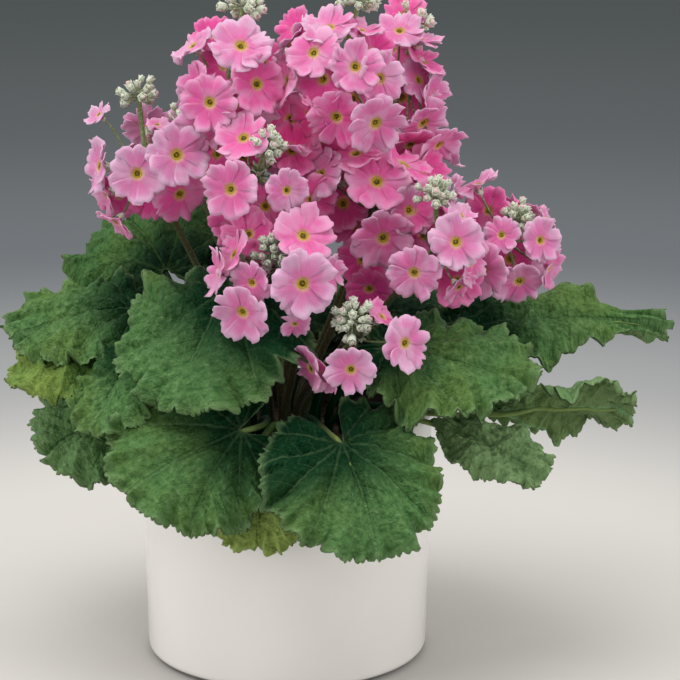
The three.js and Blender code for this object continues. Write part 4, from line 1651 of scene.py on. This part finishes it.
SCAPES = [
    Scape("top_left", (150, 9), (18, 9), [(-14, 2, 180), (-24.9, -6, 264.7), (-18, 0, 298)]),
    Scape("top", (-20, 6), (16, 9),
          [(26, -4, 165), (38.7, -12, 211.3), (34, -14, 240), (25.4, -12, 270.2), (33, -8, 302)]),
    Scape("top_right", (36, 8), (12, 9), [(34, 14, 190), (51.5, 22, 259.1), (58, 34, 286)]),
    Scape("left", (-170, 10), (16, 8.5), [(-34, -6, 170), (-60.6, -8, 231.3), (-65, -2, 259)]),
    Scape("middle", (-110, 5), (16, 6.5), [(-7, -14, 175), (-11.3, -31, 228), (-7, -44, 245)]),
    Scape("front_left", (-92, 11), (24, 8), [(5, -26, 150), (-1, -50, 193.6), (-4, -62, 201)]),
    Scape("front", (-65, 11), (22, 8), [(14, -30, 138), (32.3, -60, 163), (29.6, -73, 174)]),
    Scape("right_front", (-40, 11), (18, 8), [(42, -24, 165), (65.7, -36, 198.8), (66, -40, 222)]),
    Scape("right", (4, 11), (22, 8), [(44, 4, 165), (96, -8, 196), (104, -12, 205)]),
    Scape("back", (90, 6), (12, 9), [(2, 24, 190), (2, 36, 244), (0, 40, 268)]),
    Scape("back_left", (130, 12), (12, 9), [(-26, 26, 170), (-44, 42, 218), (-50, 48, 236)]),
    Scape("back_right", (64, 12), (12, 9), [(26, 30, 160), (52, 60, 205), (58, 66, 224)]),
]

WHORLS = [
    Whorl(
        "top_left", (-24.9, -8, 264.7), (3, 50, 140), 5,
        [(4.6, 21, 29, 30, 0.1), (-17.5, 21, 22, 27.5, 0.1), (12, 3.3, 27, 25, 0.6), (-9.7, -5, 26, 28, 0.45),
         (-15, -16, 25, 25, 0.2)],
        [(-15, 2, 23, 19, 0.5), (-1, -18, 26, 24, 0.55)],
        [(-3, 12, 24, 2), (2, -5, 26, 4), (-8, 26, 20, 6), (15, 13, 22, 4)],
    ),
    Whorl(
        "top", (25.4, -14, 270.2), (2, 62, 142), 5,
        [(15.5, -18.3, 28, 32, 0.35), (-2.5, -15.5, 27, 25, 0.8), (17.4, 2.4, 25, 26, 0.15),
         (6.2, 7.5, 25, 27, 0.35), (-13, 14, 26, 28, 0.25), (-5.9, 25.4, 25, 29, 0.1)],
        [(-8.8, 2, 27, 19, 0.85), (-25.5, 1.3, 24, 27, 0.3), (-24, 19, 24, 30, 0.15), (-15, -15, 26, 23, 0.7),
         (9, 24.5, 20, 28, 0.35)],
        [(-10, -26, 24, 4), (5, -7, 24, 0), (-21, 25, 20, 2), (14, 14, 22, 2)],
    ),
    Whorl(
        "top_right", (51.5, 22, 259.1), (2, 70, 115), 3,
        [(0, 25.5, 23, 30, 0.1)],
        [(9, 22, 22, 25, 0.15), (11, 12, 24, 18, 0.75), (9, 3, 22, 14, 0.25), (15.5, -4, 22, 18, 0.3),
         (11, -17, 27, 23, 0.25), (18, -27, 24, 35, 0.35), (5, -27, 26, 30, 0.7)],
        [(3, 33, 20, 2), (-4, 17, 24, 2), (1, -5, 26, 0), (8, -36, 24, 2)],
    ),
    Whorl(
        "middle_right", (38.7, -12, 211.3), (1, 60, 100), 5,
        [(2.5, 12, 29, 27, 0.6), (17.3, -1.3, 24, 26, 0.3), (5.5, -14, 29, 27, 0.5),
         (-23.3, 15.4, 25, 34, 0.15)],
        [(-16, 14, 28, 21, 0.9), (15, 20, 28, 27, 0.6), (-7, 25, 26, 33, 0.6)],
        [(-13, 2, 27, 2), (-4, -24, 24, 2), (24, 18, 24, 4), (20, -13, 26, 2), (-8, -8, 22, 6),
         (14, 6, 24, 4), (-1, -37, 22, 6)],
        "top",
    ),
    Whorl(
        "left", (-60.6, -10, 231.3), (2, 60, 110), 2,
        [(11.3, 4, 29, 32, 0.0), (-6.8, -4.5, 27, 28, 0.05), (12.7, -14, 27, 24, 0.6),
         (-24.5, 22.5, 14, 34, 0.0)],
        [(-24.5, -1, 26, 26, 0.0), (-21.5, -14, 22, 26, 0.4), (-16.5, -27, 20, 32, 0.45),
         (2.5, 18, 11, 23, 0.3)],
        [(-15, -14, 22, 2), (1, -13, 26, 0), (25, 3, 24, 4)],
    ),
    Whorl(
        "middle", (-11.3, -32, 230.6), (0, 0, 0), 4,
        [(-14, -5.3, 27, 27, 0.25), (-8, 18.5, 26, 25.5, 0.55), (11.8, -5.7, 20, 27, 0.1)],
        [(10, 16, 26, 19, 0.6)],
        [(-20, 11, 24, 4), (-8, 10, 24, 6), (14, 13, 26, 4), (-10, -22, 26, 2), (23, -10, 24, 4),
         (2, -13, 24, 4)],
    ),
    Whorl(
        "front_left", (-1, -50, 193.6), (0, 0, 0), 4,
        [(8.6, -7.7, 30, 30, 0.05), (9, 14.5, 28, 25, 0.5), (-14.5, -7.2, 20, 24, 0.15),
         (-19, -20.5, 27, 35, 0.1)],
        [(-30, -2, 22, 31, 0.25), (-23, 6, 22, 26, 0.5), (5, -26, 14, 33, 0.25), (22, -3, 17, 26, 0.2)],
        [(-16, 15, 24, 4), (-15, 2, 22, 2)],
    ),
    Whorl(
        "right", (99.6, -8, 194.4), (1, 70, 110), 2,
        [(15.9, 0.5, 21, 24, 0.2), (6.2, -18.3, 25, 23, 0.45)],
        [(-13.5, 26, 22, 30, 0.15), (19, 11, 12, 23, 0.2), (20, -12, 20, 24.5, 0.4),
         (-11, -12.5, 26, 25, 0.35), (-2, 3, 18, 20, 0.25)],
        [(-8, 14, 22, 2), (2, -8, 24, 0)],
    ),
    Whorl(
        "right_front", (65.7, -36, 198.8), (0, 0, 0), 4,
        [(11.5, 2.7, 26, 27, 0.0), (-7.7, -11.3, 25, 26, 0.2)],
        [(14, 15, 16, 24, 0.2), (19, -6, 24, 22, 0.45), (13, -18, 18, 24, 0.5)],
        [(-3, 6, 26, 4), (12, -15, 24, 2), (-9, 17, 24, 2)],
    ),
    Whorl(
        "front", (32.3, -60, 163), (0, 0, 0), 0,
        [(-2.9, -14.4, 23, 27, 0.1), (22, -2.3, 26, 28, 0.2)],
        [(-21.5, -14, 22, 27.5, 0.35), (-15, -16.5, 18, 24, 0.5), (11.5, 10, 19, 16.5, 0.5)],
    ),
    Whorl(
        "back", (2, 36, 244), (5, -10, 150), 4,
        [],
        [(0, -4, 26, 22, 0.8), (8, -24, 28, 27, 0.85), (-15, -16, 26, 25, 0.8)],
        [(-12, 6, 26, 0), (14, -8, 26, 0), (22, -20, 24, 0)],
    ),
    Whorl("back_left", (-44, 42, 218), (5, 50, 220), 3, [], []),
    Whorl("back_right", (52, 60, 205), (5, -30, 150), 3, [], []),
]


@dataclass
class Plant:
    """The leaves, stalks and whorls of the primrose."""

    leaves: list[Leaf]
    scapes: list[Scape]
    whorls: list[Whorl]

    def build(self) -> None:
        """Make every part of the plant."""
        greens = {
            tone: LeafFinish(tone, *(tint(*colour) for colour in colours)).make()
            for tone, colours in LEAF_COLOURS.items()
        }
        petals = PetalFinish().make()
        stems = StalkFinish().make()
        for leaf in self.leaves:
            leaf.build(greens[leaf.tone])
        buds, flowers = BudForms(), FlowerForms()
        for seed, scape in enumerate(self.scapes):
            scape.build(stems, buds, seed)
        lines = {scape.name: scape.line() for scape in self.scapes}
        for seed, whorl in enumerate(self.whorls):
            whorl.build(petals, stems, flowers, buds, lines[whorl.scape or whorl.name], seed)


@dataclass
class Studio:
    """Pale floor, soft lights and the camera at the photographed angle, in metres."""

    lens: float = 175.3
    sensor: float = 36.0
    sight: float = 20.0
    floor_radius: float = 6.0
    lit: Triple = (0, 0, 0.18)
    glow: Colour = (0.86, 0.855, 0.845, 1)
    glow_strength: float = 0.80
    lamps: tuple[tuple[str, Triple, float, float, Triple], ...] = (
        ("top", (-0.30, -0.40, 1.80), 1.3, 12.5, (1.0, 0.99, 0.97)),
        ("overhead", (0.0, 0.3, 2.20), 2.0, 9, (1.0, 0.99, 0.97)),
        ("left", (-1.8, -0.7, 0.6), 1.0, 10, (1.0, 0.99, 0.98)),
        ("right", (1.8, -0.7, 0.6), 1.0, 10, (1.0, 0.99, 0.98)),
    )

    def floor(self) -> None:
        """Lay the floor."""
        form = Form()
        bmesh.ops.create_circle(form.bm, cap_ends=True, segments=96, radius=self.floor_radius)
        mesh = form.mesh("floor")
        mesh.materials.append(StageFinish().make())
        add_object("floor", mesh)

    def lights(self) -> None:
        """Hang square soft lights that face the plant, and set the room's glow."""
        for name, place, size, power, colour in self.lamps:
            data = bpy.data.lights.new(name, "AREA")
            data.size, data.energy, data.color = size, power, colour
            lamp = add_object(name, data)
            lamp.location = place
            lamp.rotation_euler = (Vector(self.lit) - Vector(place)).to_track_quat("-Z", "Y").to_euler()
        world = bpy.data.worlds.new("room")
        world.use_nodes = True
        inputs = world.node_tree.nodes["Background"].inputs
        inputs["Color"].default_value = self.glow
        inputs["Strength"].default_value = self.glow_strength
        bpy.context.scene.world = world

    def camera(self) -> None:
        """Set the camera."""
        data = bpy.data.cameras.new("camera")
        data.lens, data.sensor_width, data.clip_end = self.lens, self.sensor, self.sight
        camera = add_object("camera", data)
        camera.location = (AIM + TOWARD * AFAR) * MM
        camera.rotation_euler = (-TOWARD).to_track_quat("-Z", "Y").to_euler()
        bpy.context.scene.camera = camera

    def build(self) -> None:
        """Set the whole studio, with colours shown as they are."""
        bpy.context.scene.view_settings.view_transform = "Standard"
        self.floor()
        self.lights()
        self.camera()


def report_size() -> None:
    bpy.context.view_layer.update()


def main() -> None:
    """Build the pot, its mix, the plant and the studio."""
    logging.basicConfig(level=logging.INFO)
    Studio().build()
    Pot().build(GlazeFinish().make())
    PottingMix().build(MixFinish().make())
    Plant(LEAVES, SCAPES, WHORLS).build()
    report_size()


if __name__ == "__main__":
    main()
